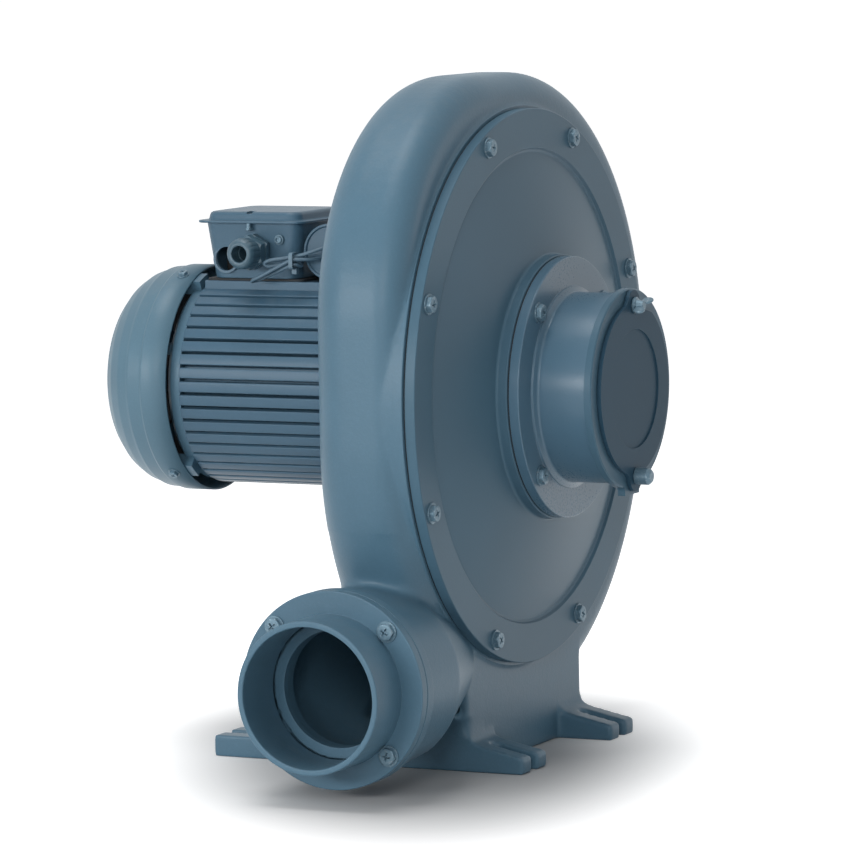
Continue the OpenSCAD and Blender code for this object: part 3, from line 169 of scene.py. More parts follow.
class Recipe:
    """The node tree of one finish."""

    def __init__(self, name):
        self.material = bpy.data.materials.new(name)
        self.material.use_nodes = True
        self.tree = self.material.node_tree
        self.tree.nodes.clear()

    def node(self, kind, settings=None, values=None, out=0):
        made = self.tree.nodes.new(kind)
        for name, value in (settings or {}).items():
            setattr(made, name, value)
        for key, value in (values or {}).items():
            if isinstance(value, Field):
                self.tree.links.new(value.socket, made.inputs[key])
            else:
                made.inputs[key].default_value = value
        return Field(self, made.outputs[out]) if made.outputs else None

    def place(self):
        return self.node("ShaderNodeTexCoord", out="Object")

    def noise(self, at, grain_mm, detail=2.0, roughness=0.5):
        return self.node("ShaderNodeTexNoise", {}, {"Vector": at, "Scale": 1000 / grain_mm, "Detail": detail,
                                                    "Roughness": roughness})

    def cells(self, at, grain_mm):
        return self.node("ShaderNodeTexVoronoi", {"feature": "F1"}, {"Vector": at, "Scale": 1000 / grain_mm})

    def stretched(self, at, scale):
        return self.node("ShaderNodeVectorMath", {"operation": "MULTIPLY"}, {0: at, 1: scale})

    def mixed(self, amount, first, second):
        return self.node("ShaderNodeMix", {"data_type": "RGBA"}, {0: amount, 6: first, 7: second}, out=2)

    def facing_up(self):
        normal = self.node("ShaderNodeNewGeometry", out="Normal")
        return self.node("ShaderNodeSeparateXYZ", {}, {0: normal}, out=2)

    def bump(self, height, depth_mm):
        return self.node("ShaderNodeBump", {}, {"Height": height, "Distance": depth_mm * MM})

    def surface(self, **sockets):
        names = {"base": "Base Color", "roughness": "Roughness", "metallic": "Metallic", "normal": "Normal",
                 "specular": "Specular IOR Level", "coat": "Coat Weight", "coat_roughness": "Coat Roughness"}
        shader = self.node("ShaderNodeBsdfPrincipled", {}, {names[k]: v for k, v in sockets.items()})
        self.node("ShaderNodeOutputMaterial", {}, {"Surface": shader})
        return self.material


def rgb(text):
    """Linear colour from the usual six hexadecimal digits."""
    values = [int(text[i:i + 2], 16) / 255 for i in (0, 2, 4)]
    return tuple(v / 12.92 if v <= 0.04045 else ((v + 0.055) / 1.055) ** 2.4 for v in values) + (1.0,)


def shade(colour, factor):
    """The colour times a factor."""
    return tuple(c * factor for c in colour[:3]) + (1.0,)


def enamel(name, colour, grain_mm=2.2, grain_depth=0.12, sheen=0.38, patch=0.05):
    """Blue-grey enamel over cast metal: fine grain, slow drift of tone, dust on what faces up."""
    r = Recipe(name)
    at = r.place()
    drift = r.noise(at, 130, 3, 0.55)
    grain = r.noise(at, grain_mm, 3, 0.6)
    pits = r.cells(at, grain_mm * 2.6)
    dust = r.facing_up().between(0.25, 1.0) * r.noise(at, 9, 4).between(0.35, 0.75)
    tone = r.mixed(drift.between(0.3, 0.7), shade(colour, 1 - patch), shade(colour, 1 + patch))
    tone = r.mixed(grain.between(0.45, 0.75) * 0.10, tone, shade(colour, 1.5))
    tone = r.mixed(dust * 0.07, tone, rgb("9a9a94"))
    rough = sheen - 0.04 + drift * 0.06 + grain * 0.05 + dust * 0.06
    height = grain + pits * 0.35 + drift * 2.0
    return r.surface(base=tone, roughness=rough, normal=r.bump(height, grain_depth), specular=0.3)


def turned_enamel(name, colour, sheen=0.36, gloss=0.16):
    """Enamel sprayed on a turned face: orange peel and the faint rings of the lathe."""
    r = Recipe(name)
    at = r.place()
    drift = r.noise(at, 160, 2)
    peel = r.noise(at, 1.6, 2)
    rings = r.noise(r.stretched(at, (0.02, 1.0, 0.02)), 0.8, 2)
    tone = r.mixed(drift.between(0.3, 0.7), shade(colour, 0.95), shade(colour, 1.05))
    tone = r.mixed(peel.between(0.5, 0.8) * 0.06, tone, shade(colour, 1.5))
    rough = sheen - 0.03 + drift * 0.05 + peel * 0.04
    return r.surface(base=tone, roughness=rough, normal=r.bump(peel + rings * 0.3, 0.05), specular=gloss)


def screw_steel(name, colour):
    """Plated screws under a thin overspray of enamel, worn bright in spots."""
    r = Recipe(name)
    at = r.place()
    worn = r.noise(at, 2.4, 4, 0.65).between(0.52, 0.72)
    scratch = r.noise(r.stretched(at, (1.0, 0.15, 1.0)), 0.5, 2)
    tone = r.mixed(worn * 0.55, colour, rgb("a9b4ba"))
    return r.surface(base=tone, roughness=0.38 - worn * 0.1 + scratch * 0.08, metallic=0.25 + worn * 0.5,
                     normal=r.bump(scratch, 0.03))


def metal(name, colour, sheen=0.3, along=(1.0, 0.1, 1.0), grain_mm=0.7):
    """Bare metal with the fine marks of its making."""
    r = Recipe(name)
    at = r.place()
    marks = r.noise(r.stretched(at, along), grain_mm, 3)
    stain = r.noise(at, 14, 3)
    tone = r.mixed(stain.between(0.4, 0.7), colour, shade(colour, 0.82))
    return r.surface(base=tone, roughness=sheen + marks * 0.12 + stain * 0.05, metallic=1.0,
                     normal=r.bump(marks, 0.02))


def moulded(name, colour, sheen=0.45, grain_mm=1.1, depth=0.04):
    """Moulded plastic, rubber or varnish with a fine skin."""
    r = Recipe(name)
    at = r.place()
    skin = r.noise(at, grain_mm, 2)
    drift = r.noise(at, 22, 3)
    tone = r.mixed(drift.between(0.35, 0.7), shade(colour, 0.9), shade(colour, 1.1))
    return r.surface(base=tone, roughness=sheen + skin * 0.08 + drift * 0.05, normal=r.bump(skin, depth))


BLUE_GREY = rgb("4e6e81")
# The damper's paint is the same blue-grey made darker: painted shade.
DAMPER_SHADED_ENAMEL = turned_enamel("damper_shaded_enamel", rgb("304c5e"), 0.42, 0.08)
# The inlet pipe's paint is the same blue-grey made lighter: painted light.
PIPE_LIT_ENAMEL = turned_enamel("pipe_lit_enamel", rgb("527185"), 0.27, 0.4)
# The fins take a darker copy and the fan cover a lighter copy of the motor's blue-grey: painted shade and
# painted light.
FIN_SHADED_ENAMEL = enamel("fin_shaded_enamel", rgb("426074"), 1.5, 0.07, 0.36)
COWL_LIT_ENAMEL = enamel("cowl_lit_enamel", rgb("587788"), 1.5, 0.07, 0.36)
FINISH = {
    "casing_paint": enamel("casing_enamel", BLUE_GREY, 2.4, 0.16),
    "cover_paint": turned_enamel("cover_enamel", rgb("4b697b")),
    "motor_paint": enamel("motor_enamel", BLUE_GREY, 1.5, 0.07, 0.36),
    "box_paint": enamel("box_enamel", rgb("456275"), 1.2, 0.05, 0.36),
    "bolt_zinc": screw_steel("screw_steel", rgb("5e7a8a")),
    "bright_steel": metal("ground_steel", rgb("b9bcbe")),
    "gasket_fibre": moulded("gasket_fibre", rgb("1d2226"), 0.7),
    "impeller_aluminium": metal("pressed_aluminium", rgb("c9cccf"), 0.34, (1.0, 1.0, 1.0), 3.0),
    "core_steel": metal("stacked_steel", rgb("7d8184"), 0.42, (0.2, 3.0, 0.2), 0.6),
    "winding_copper": moulded("varnished_copper", rgb("8a4a22"), 0.3, 0.9, 0.2),
    "cage_brass": metal("cage_brass", rgb("b4935a")),
    "fan_plastic": moulded("fan_plastic", rgb("24282b"), 0.5),
    "gland_plastic": moulded("gland_plastic", rgb("44606f"), 0.32),
    "block_plastic": moulded("block_plastic", rgb("2b2b29"), 0.5),
    "can_paint": enamel("can_enamel", rgb("435e70"), 1.0, 0.03, 0.33),
    "lead_jacket": moulded("lead_jacket", rgb("4c6677"), 0.4),
    "tie_plastic": moulded("tie_plastic", rgb("5a7484"), 0.45),
}


# Making shapes

def add_piece(name, mesh, slot, body, nodes=(), sharp=40, finish=None):
    """Links a finished mesh, in millimetres until here, as a piece that rides on a body."""
    mesh.transform(Matrix.Scale(MM, 4))
    piece = bpy.data.objects.new(name, mesh)
    bpy.context.collection.objects.link(piece)
    mesh.materials.clear()
    mesh.materials.append(finish or FINISH[slot])
    mesh.polygons.foreach_set("material_index", [0] * len(mesh.polygons))
    mesh.polygons.foreach_set("use_smooth", [True] * len(mesh.polygons))
    if sharp:
        mesh.set_sharp_from_angle(angle=math.radians(sharp))
        even = piece.modifiers.new("even_shading", "WEIGHTED_NORMAL")
        even.keep_sharp = True
    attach(piece, body)
    if nodes:
        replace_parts(piece, *nodes)
    return piece


def softened(corners, steps=4, closed=True):
    """Line through corners (radius, station, rounding), each corner rounded by its own radius."""
    points = []
    count = len(corners)
    for i, (px, py, r) in enumerate(corners):
        p = Vector((px, py))
        if r <= 0 or (not closed and i in (0, count - 1)):
            points.append(p)
            continue
        a, b = Vector(corners[i - 1][:2]) - p, Vector(corners[(i + 1) % count][:2]) - p
        reach = 0.48 * min(a.length, b.length)
        a, b = a.normalized(), b.normalized()
        half = a.angle(b) / 2
        if half > math.radians(88):
            points.append(p)
            continue
        cut = min(r / math.tan(half), reach)
        r = cut * math.tan(half)
        centre = p + (a + b).normalized() * (r / math.sin(half))
        start, end = p + a * cut - centre, p + b * cut - centre
        turn = start.angle_signed(end)
        for k in range(steps + 1):
            angle = -turn * k / steps
            c, s = math.cos(angle), math.sin(angle)
            points.append(centre + Vector((start.x * c - start.y * s, start.x * s + start.y * c)))
    return [(p.x, p.y) for p in points]


def grid_mesh(name, rings, wrap_rings=False, wrap_sides=True, caps=False):
    """Mesh over rings of equally many points."""
    rings = np.asarray(rings, float)
    n, m = rings.shape[:2]
    verts = rings.reshape(-1, 3)
    faces = []
    for i in range(n if wrap_rings else n - 1):
        j = (i + 1) % n
        for k in range(m if wrap_sides else m - 1):
            l = (k + 1) % m
            faces.append((i * m + k, i * m + l, j * m + l, j * m + k))
    if caps:
        faces += [tuple(range(m)), tuple(range(n * m - 1, (n - 1) * m - 1, -1))]
    mesh = bpy.data.meshes.new(name)
    mesh.from_pydata(verts.tolist(), [], faces)
    tidy(mesh)
    return mesh


def tidy(mesh):
    """Joins doubled points and turns every face outwards."""
    work = bmesh.new()
    work.from_mesh(mesh)
    bmesh.ops.remove_doubles(work, verts=work.verts, dist=1e-4)
    bmesh.ops.dissolve_degenerate(work, edges=work.edges, dist=1e-5)
    bmesh.ops.recalc_face_normals(work, faces=work.faces)
    work.to_mesh(mesh)
    work.free()


ON_SHAFT = Matrix.Translation((0, 0, SHAFT_Z)) @ Matrix.Rotation(math.radians(-90), 4, "X")


def lathe_mesh(name, corners, place=ON_SHAFT, sides=144, steps=4):
    """Turned body: corners are (radius, station along the axis, rounding)."""
    line = softened(corners, steps)
    turn = np.linspace(0, 2 * math.pi, sides, endpoint=False)
    rings = [[(r * math.cos(a), r * math.sin(a), y) for r, y in line] for a in turn]
    mesh = grid_mesh(name, rings, wrap_rings=True)
    mesh.transform(place)
    return mesh


def joined(name, meshes):
    """One mesh out of several."""
    work = bmesh.new()
    for mesh in meshes:
        work.from_mesh(mesh)
        bpy.data.meshes.remove(mesh)
    whole = bpy.data.meshes.new(name)
    work.to_mesh(whole)
    work.free()
    return whole


def prism_mesh(name, outline, low, high, rim=0.5, steps=2):
    """Plate along +Z between two heights, with its upper and lower edges rounded inwards."""
    outline = np.asarray(outline, float)
    ahead, behind = np.roll(outline, -1, 0) - outline, outline - np.roll(outline, 1, 0)
    normal = np.stack([(ahead + behind)[:, 1], -(ahead + behind)[:, 0]], -1)
    normal /= np.linalg.norm(normal, axis=1)[:, None] + 1e-9
    area = np.sum(outline[:, 0] * np.roll(outline[:, 1], -1) - outline[:, 1] * np.roll(outline[:, 0], -1))
    normal *= 1 if area > 0 else -1
    angles = [math.pi / 2 * k / steps for k in range(steps + 1)]
    levels = [(rim * (1 - math.sin(a)), low + rim * (1 - math.cos(a))) for a in angles]
    levels += [(rim * (1 - math.sin(a)), high - rim * (1 - math.cos(a))) for a in reversed(angles)]
    rings = [np.column_stack([outline - normal * inset, np.full(len(outline), z)]) for inset, z in levels]
    return grid_mesh(name, rings, caps=True)


def arc(cx, cy, r, start, end, steps=8):
    return [(cx + r * math.cos(math.radians(start + (end - start) * k / steps)),
             cy + r * math.sin(math.radians(start + (end - start) * k / steps))) for k in range(steps + 1)]


def round_rect(w, l, r, steps=6):
    x, y = w / 2 - r, l / 2 - r
    return (arc(x, y, r, 0, 90, steps) + arc(-x, y, r, 90, 180, steps)
            + arc(-x, -y, r, 180, 270, steps) + arc(x, -y, r, 270, 360, steps))


def placed(mesh, *moves):
    for move in moves:
        mesh.transform(move)
    return mesh


def facing(point, direction):
    """Places a mesh made along +Z so that it stands at a point and looks along a direction."""
    turn = Vector((0, 0, 1)).rotation_difference(Vector(direction)).to_matrix().to_4x4()
    return Matrix.Translation(Vector(point)) @ turn


def screw_mesh(across, head, washer=True, seed=0):
    """Hexagon head with a crowned top, a pressed washer and a cross recess, from its seat up."""
    r = across / math.sqrt(3)
    parts = []
    base = head * 0.26 if washer else 0
    if washer:
        rim = r * 1.16
        parts.append(lathe_mesh("washer", [(0, 0, 0), (rim, 0, 0.15), (rim, base, 0.3), (0, base, 0)],
                                Matrix.Identity(4), 40, 2))
    sides, rings = 48, []
    profile = [(0.0, 0.0), (0.0, 0.55), (0.06, 0.78), (0.16, 0.92), (0.30, 1.0)]
    for inset, up in profile:
        ring = []
        for k in range(sides):
            a = 2 * math.pi * k / sides + seed
            flat = (across / 2) / math.cos((a - seed) % (math.pi / 3) - math.pi / 6)
            round_r = across / 2 * (1.14 - inset * 0.9)
            reach = min(flat, round_r) if inset else min(flat, r * 0.985)
            ring.append((reach * math.cos(a), reach * math.sin(a), base + (head - base) * up))
        rings.append(ring)
    arm, half = across * 0.27, across * 0.062
    cross = []
    for k in range(sides):
        a = 2 * math.pi * k / sides + seed
        q = (a - seed + math.pi / 4) % (math.pi / 2) - math.pi / 4
        reach = min(arm / max(math.cos(q), 0.05), half / max(abs(math.sin(q)), 0.05))
        reach = max(reach, half * 1.25)
        cross.append((reach * math.cos(a), reach * math.sin(a)))
    rings.append([(x * 1.06, y * 1.06, head) for x, y in cross])
    rings.append([(x, y, head - 0.25) for x, y in cross])
    rings.append([(x * 0.55, y * 0.55, head - across * 0.16) for x, y in cross])
    parts.append(grid_mesh("head", rings, caps=True))
    return joined("screw", parts)


def screws(name, node, seats, direction_of, across, head):
    """A set of screws at their seats, each turned a little differently."""
    meshes = []
    for i, seat in enumerate(seats):
        one = screw_mesh(across, head, seed=0.7 + 1.9 * i)
        meshes.append(placed(one, facing(seat, direction_of(seat))))
    return add_piece(name, joined(name, meshes), "bolt_zinc", "housing", (node,))


def ring_of(n, radius, start, y):
    """Points round the shaft."""
    return [(radius * math.cos(math.radians(start + i * 360 / n)), y,
             SHAFT_Z + radius * math.sin(math.radians(start + i * 360 / n))) for i in range(n)]


def applied(mesh, *settings):
    """The mesh with modifiers applied. Each setting is a kind and what it is set to."""
    rough = bpy.data.objects.new("rough", mesh)
    bpy.context.collection.objects.link(rough)
    for kind, values in settings:
        step = rough.modifiers.new(kind, kind)
        for key, value in values.items():
            setattr(step, key, value)
    bpy.context.view_layer.update()
    done = bpy.data.meshes.new_from_object(rough.evaluated_get(bpy.context.evaluated_depsgraph_get()))
    bpy.data.objects.remove(rough)
    return done


def cut_by(mesh, cutter):
    """The mesh less a cutter."""
    tool = bpy.data.objects.new("cutter", cutter)
    bpy.context.collection.objects.link(tool)
    done = applied(mesh, ("BOOLEAN", {"operation": "DIFFERENCE", "solver": "EXACT", "object": tool}))
    bpy.data.objects.remove(tool)
    return done


def cad_mesh(node):
    """A copy of a CAD node's mesh in millimetres, with its flat faces whole."""
    mesh = frame["nodes"][node].data.copy()
    mesh.transform(Matrix.Scale(1 / MM, 4))
    work = bmesh.new()
    work.from_mesh(mesh)
    bmesh.ops.remove_doubles(work, verts=work.verts, dist=2e-3)
    bmesh.ops.dissolve_limit(work, angle_limit=math.radians(1), verts=work.verts, edges=work.edges)
    bmesh.ops.recalc_face_normals(work, faces=work.faces)
    work.to_mesh(mesh)
    work.free()
    return mesh


def dressed(node, slot, body="housing", edge=0.4, angle=30, finish=None):
    """A CAD node's own form with its sharp edges rounded."""
    done = applied(cad_mesh(node), ("BEVEL", {"width": edge, "segments": 2, "limit_method": "ANGLE",
                                              "angle_limit": math.radians(angle), "use_clamp_overlap": True}))
    return add_piece(node + "_dressed", done, slot, body, (node,), finish=finish)


def collar_mesh(name, outline, bore, low, high, rim=0.5):
    """Plate along +Z with a round bore. The outline's points go once round the bore."""
    outline = np.asarray(outline, float)
    turn = np.arctan2(outline[:, 1], outline[:, 0])
    inner = np.column_stack([np.cos(turn), np.sin(turn)]) * bore
    inset = outline * (1 - rim / np.linalg.norm(outline, axis=1))[:, None]
    soft = outline * (1 - 0.3 * rim / np.linalg.norm(outline, axis=1))[:, None]

    def at(points, z):
        return np.column_stack([points, np.full(len(points), z)])

    rings = [at(outline, low + rim), at(outline, high - rim), at(soft, high - 0.3 * rim), at(inset, high),
             at(inner, high), at(inner, low), at(inset, low), at(soft, low + 0.3 * rim)]
    return grid_mesh(name, rings, wrap_rings=True)


def rod_mesh(r, low, high, place, sides=64):
    return lathe_mesh("rod", [(0, low, 0), (r, low, 0), (r, high, 0), (0, high, 0)], place, sides)


def block_mesh(low, high, rim=0.4):
    """Block between two corners with softened edges."""
    low, high = Vector(low), Vector(high)
    size, centre = high - low, (low + high) / 2
    mesh = prism_mesh("block", round_rect(size.x, size.y, rim, 3), -size.z / 2, size.z / 2, rim, 2)
    mesh.transform(Matrix.Translation(centre))
    return mesh


# Casing

def cast_casing():
    """The scroll casing as a casting: one skin, with wide fillets where the neck leaves the scroll."""
    mesh = frame["nodes"]["volute_casing"].data.copy()
    voxel = 0.0018
    skin = applied(mesh, ("REMESH", {"mode": "VOXEL", "voxel_size": voxel, "adaptivity": 0}))
    spots = np.empty(len(skin.vertices) * 3)
    skin.vertices.foreach_get("co", spots)
    spots = spots.reshape(-1, 3) / MM - (0, 0, OUTLET_Z)
    root = np.hypot(spots[:, 1], spots[:, 2]) > NECK_BORE
    for axis, (low, high) in enumerate(NECK_ROOT):
        root &= (spots[:, axis] > low) & (spots[:, axis] < high)
    rough = bpy.data.objects.new("casting", skin)
    bpy.context.collection.objects.link(rough)
    group = rough.vertex_groups.new(name="neck_root")
    group.add(np.nonzero(root)[0].tolist(), 1.0, "REPLACE")
    for name, rounds, area in (("fillets", 10, ""), ("wide_fillets", 120, "neck_root")):
        melt = rough.modifiers.new(name, "SMOOTH")
        melt.factor, melt.iterations, melt.vertex_group = 0.5, rounds, area
    bpy.context.view_layer.update()
    done = bpy.data.meshes.new_from_object(rough.evaluated_get(bpy.context.evaluated_depsgraph_get()))
    bpy.data.objects.remove(rough)
    done.transform(Matrix.Scale(1 / MM, 4))
    return add_piece("scroll_casting", done, "casing_paint", "housing", ("volute_casing",), sharp=0)


def cover_seat_ring():
    """The casing's turned rim that carries the cover."""
    mesh = lathe_mesh("cover_seat", [(212, Y_SEAT + 10, 0), (212, Y_SEAT, 0.4), (237, Y_SEAT, 0.9),
                                     (237, Y_SEAT + 9, 3), (232, Y_SEAT + 16, 0)], sides=288)
    return add_piece("cover_seat_ring", mesh, "casing_paint", "housing")


def outlet_flange_ring():
    """The casing's turned face that carries the spigot."""
    place = Matrix.Translation((OUTLET_X, 0, OUTLET_Z)) @ Matrix.Rotation(math.radians(90), 4, "Y")
    mesh = lathe_mesh("outlet_seat", [
        (48, 0, 0.5), (81, 0, 0.9), (81, 11, 1.2), (74, 11.6, 0), (74, 16, 0), (48, 16, 0)], place, 192)
    return add_piece("outlet_seat_ring", mesh, "casing_paint", "housing")


def outlet_seal():
    """Flat ring between the casing's face and the spigot, set back from the bore."""
    place = Matrix.Translation((OUTLET_X, 0, OUTLET_Z)) @ Matrix.Rotation(math.radians(-90), 4, "Y")
    thick = OUTLET_X - span("outlet_gasket")[0].x
    mesh = lathe_mesh("seal", [
        (58.5, 0, 0.2), (80.4, 0, 0.3), (80.4, thick, 0.3), (58.5, thick, 0.2)], place, 192)
    return add_piece("outlet_seal_ring", mesh, "gasket_fibre", "housing", ("outlet_gasket",))


def front_cover():
    """Turned cover: boss for the inlet pipe, dished face, raised rim."""
    boss_r, y0 = 111.5, Y_BOSS
    mesh = lathe_mesh("front_cover", [
        (62, y0, 0.5), (boss_r, y0, 1.0), (boss_r, y0 + 9.5, 2.5), (197.5, Y_COVER + 3, 2.0),
        (199.5, Y_COVER + 2.2, 0.8), (201, Y_COVER, 0.8), (234, Y_COVER, 1.0), (234, Y_GASKET, 0.4),
        (211.7, Y_GASKET, 0.2), (211.7, Y_SEAT + 3, 0.6), (205.7, Y_SEAT + 3, 0.6), (205.7, Y_COVER + 9, 2),
        (197, Y_COVER + 9, 2), (107.5, y0 + 15.5, 2), (65.5, y0 + 15.5, 6), (62.5, -24, 0.8), (59, -24, 0.8),
        (59, y0 + 13.5, 3), (62, y0 + 1, 0.2)], sides=288)
    return add_piece("front_cover_turned", mesh, "cover_paint", "housing", ("front_cover",))


def inlet_pipe():
    """Pipe with a fillet at the root of its flange."""
    y0, y1 = Y_PIPE_END, Y_FLANGE - FLANGE_THICK
    mesh = lathe_mesh("inlet_pipe", [
        (72, y0, 0.4), (80, y0, 0.5), (80, y1 - 4, 2.5), (85, y1 - 1.6, 1.2), (85, y1, 1.5), (110, y1, 1.0),
        (110, Y_FLANGE, 0.5), (72, Y_FLANGE, 0.5)], sides=240)
    return add_piece("inlet_pipe_turned", mesh, "cover_paint", "housing", ("inlet_pipe",), finish=PIPE_LIT_ENAMEL)


def outlet_spigot():
    """Flange and short tube for the hose."""
    foot = (span("outlet_gasket")[0].x, 0, OUTLET_Z)
    place = Matrix.Translation(foot) @ Matrix.Rotation(math.radians(-90), 4, "Y")
    mesh = lathe_mesh("outlet_spigot", [
        (57.5, 0, 0.5), (81, 0, 0.5), (81, FLANGE_THICK, 1.0), (62.5, FLANGE_THICK, 0.4), (62.5, 54, 1.4),
        (57.5, 54, 1.4)], place, 240)
    return add_piece("outlet_spigot_turned", mesh, "casing_paint", "housing", ("outlet_spigot",))


def damper():
    """Seat, swinging plate, pivot and wing screw in front of the inlet pipe."""
    dressed("damper_seat", "cover_paint", edge=0.5)
    dressed("damper_plate", "cover_paint", "damper", edge=0.35, finish=DAMPER_SHADED_ENAMEL)
    head, back, end = span("damper_pivot")[0].y, span("damper_pivot")[0].y + 14, Y_PIPE_END
    pivot = lathe_mesh("pivot", [
        (0, head, 0), (4.6, head, 0.8), (7.2, head + 2.6, 1.6), (7.2, back, 0.4), (4, back, 0), (4, end, 0),
        (0, end, 0)], Matrix.Translation((0, 0, PIVOT_UP)) @ ON_SHAFT, 64)
    add_piece("damper_pivot_pin", pivot, "bolt_zinc", "housing", ("damper_pivot",))
    end = Y_PIPE_END - 0.3
    knob = lathe_mesh("knob", [
        (0, back - 9, 0), (3.9, back - 9, 0.9), (5.0, back - 3, 0.5), (7, back - 2.2, 0.5), (7, back, 0.4),
        (3, back, 0), (3, end, 0), (0, end, 0)], Matrix.Translation((0, 0, WING_UP)) @ ON_SHAFT, 64)
    wings = [knob]
    for turn in (0, 180):
        tab = arc(10, 8, 5, -62, 140, 14) + [(4.2, 8.6), (2.4, 6.6), (2.4, 3.2), (9.0, 3.2)]
        blade = prism_mesh("wing", tab, -1.1, 1.1, 0.8, 3)
        blade.transform(Matrix.Translation((0, back, SHAFT_Z + WING_UP))
                        @ Matrix.Rotation(math.radians(turn - 20), 4, "Y") @ Matrix.Diagonal((1, -1, 1, 1)))
        wings.append(blade)
    whole = joined("wing_screw", wings)
    tidy(whole)
    add_piece("wing_screw_turned", whole, "bolt_zinc", "wing_screw_body", ("wing_screw",))


# Motor

def motor_ends():
    """The cast ends of the motor, the box's gasket and the capacitor's clamp, with softened edges."""
    dressed("front_bell", "motor_paint", edge=0.6)
    dressed("rear_bell", "motor_paint", edge=0.6)
    dressed("terminal_box_gasket", "gasket_fibre", edge=0.25)
    dressed("capacitor_clamp", "motor_paint", edge=0.2)
    screws("front_bell_screws", "front_bell_bolts", ring_of(4, BELL_SCREW_R, 45, 54),
           lambda p: (0, 1, 0), *M8_HEAD)


def motor_frame():
    """Finned frame: flat blocks with soft edges and rounded grooves, and the pad under the terminal box."""
    count, outer, root, half = 48, 90.5, 80.5, 4.55
    pitch = 2 * math.pi / count
    outline = []
    for k in range(count):
        mid = k * pitch
        for r, t in ((root + 0.3, -pitch * root / 2), (root + 0.05, -half + 0.1), (root + 0.9, -half + 0.55),
                     (outer - 1.0, -half), (outer - 0.3, -half + 0.25), (outer, -half + 0.95),
                     (outer + 0.0, 0.0), (outer, half - 0.95), (outer - 0.3, half - 0.25),
                     (outer - 1.0, half), (root + 0.9, half - 0.55), (root + 0.05, half - 0.1)):
            turn = mid + t / r
            outline.append((r * math.cos(turn), min(r * math.sin(turn), PAD_Z - SHAFT_Z)))
    frame_body = collar_mesh("frame", outline, 76, Y_MOTOR, Y_MOTOR_END, 0.9)
    along_shaft = Matrix(((1, 0, 0, 0), (0, 0, 1, 0), (0, 1, 0, 0), (0, 0, 0, 1)))
    frame_body.transform(Matrix.Translation((0, 0, SHAFT_Z)) @ along_shaft)
    y0, y1 = BOX_Y - 105.5, BOX_Y + 47.5
    pad = block_mesh((-41, y0, SHAFT_Z + 66), (41, y1, PAD_Z), 0.8)
    whole = joined("motor_frame", [frame_body, pad])
    tidy(whole)
    add_piece("finned_frame", whole, "motor_paint", "housing", ("stator_frame",), sharp=50, finish=FIN_SHADED_ENAMEL)


def fan_cover():
    """Spun sheet cover with rings of air slots in its rear face."""
    y, z = Y_COWL, Y_COWL_END
    corners = [(98, y, 0), (98, y + 24, 1.2), (96.6, y + 26.2, 1.2), (96, y + 38, 4), (94.5, y + 41, 4),
               (91.5, y + 50, 12), (85, y + 60, 12), (75, z - 12.5, 14), (60, z - 5, 0)]
    line = softened(corners, 5, closed=False)
    slots = [(9 * k, 9 * k + 4) for k in range(6, 0, -1)]
    radii = [r for low, high in slots for r in (high, low)]
    line += [(r, z - 5 * max(0.0, (r - 34) / 26) ** 2) for r in radii + [5.0, 1.5]]
    sides = 360
    turn = np.linspace(0, 2 * math.pi, sides, endpoint=False)
    verts = [(r * math.cos(a), station, r * math.sin(a) + SHAFT_Z) for r, station in line for a in turn]
    faces = []
    first = len(line) - len(radii) - 2
    for i in range(len(line) - 1):
        ring = (i - first) // 2 if i >= first and (i - first) % 2 == 0 else None
        for k in range(sides):
            if ring is not None and ring < len(slots):
                shift = 45 * (6 - ring)
                off = (math.degrees(turn[k] + turn[1] / 2) - shift) % 90
                bridge = math.degrees(math.asin(2.5 / (slots[ring][0] + 2)))
                if bridge < off < 90 - bridge:
                    continue
            l = (k + 1) % sides
            faces.append((i * sides + k, (i + 1) * sides + k, (i + 1) * sides + l, i * sides + l))
    faces.append(tuple((len(line) - 1) * sides + k for k in range(sides)))
    mesh = bpy.data.meshes.new("cover_sheet")
    mesh.from_pydata(verts, [], faces)
    tidy(mesh)
    sheet = applied(mesh, ("SOLIDIFY", {"thickness": 1.5, "offset": -1.0, "use_even_offset": True}))
    add_piece("fan_cover_spun", sheet, "motor_paint", "housing", ("fan_cover",), sharp=0, finish=COWL_LIT_ENAMEL)


def shell_loft(name, levels, steps=8):
    """Loft through rounded rectangles (width, length, corner, height) with both ends closed."""
    rings = [[(px, py, h) for px, py in round_rect(w, l, r, steps)] for w, l, r, h in levels]
    return grid_mesh(name, rings, caps=True)


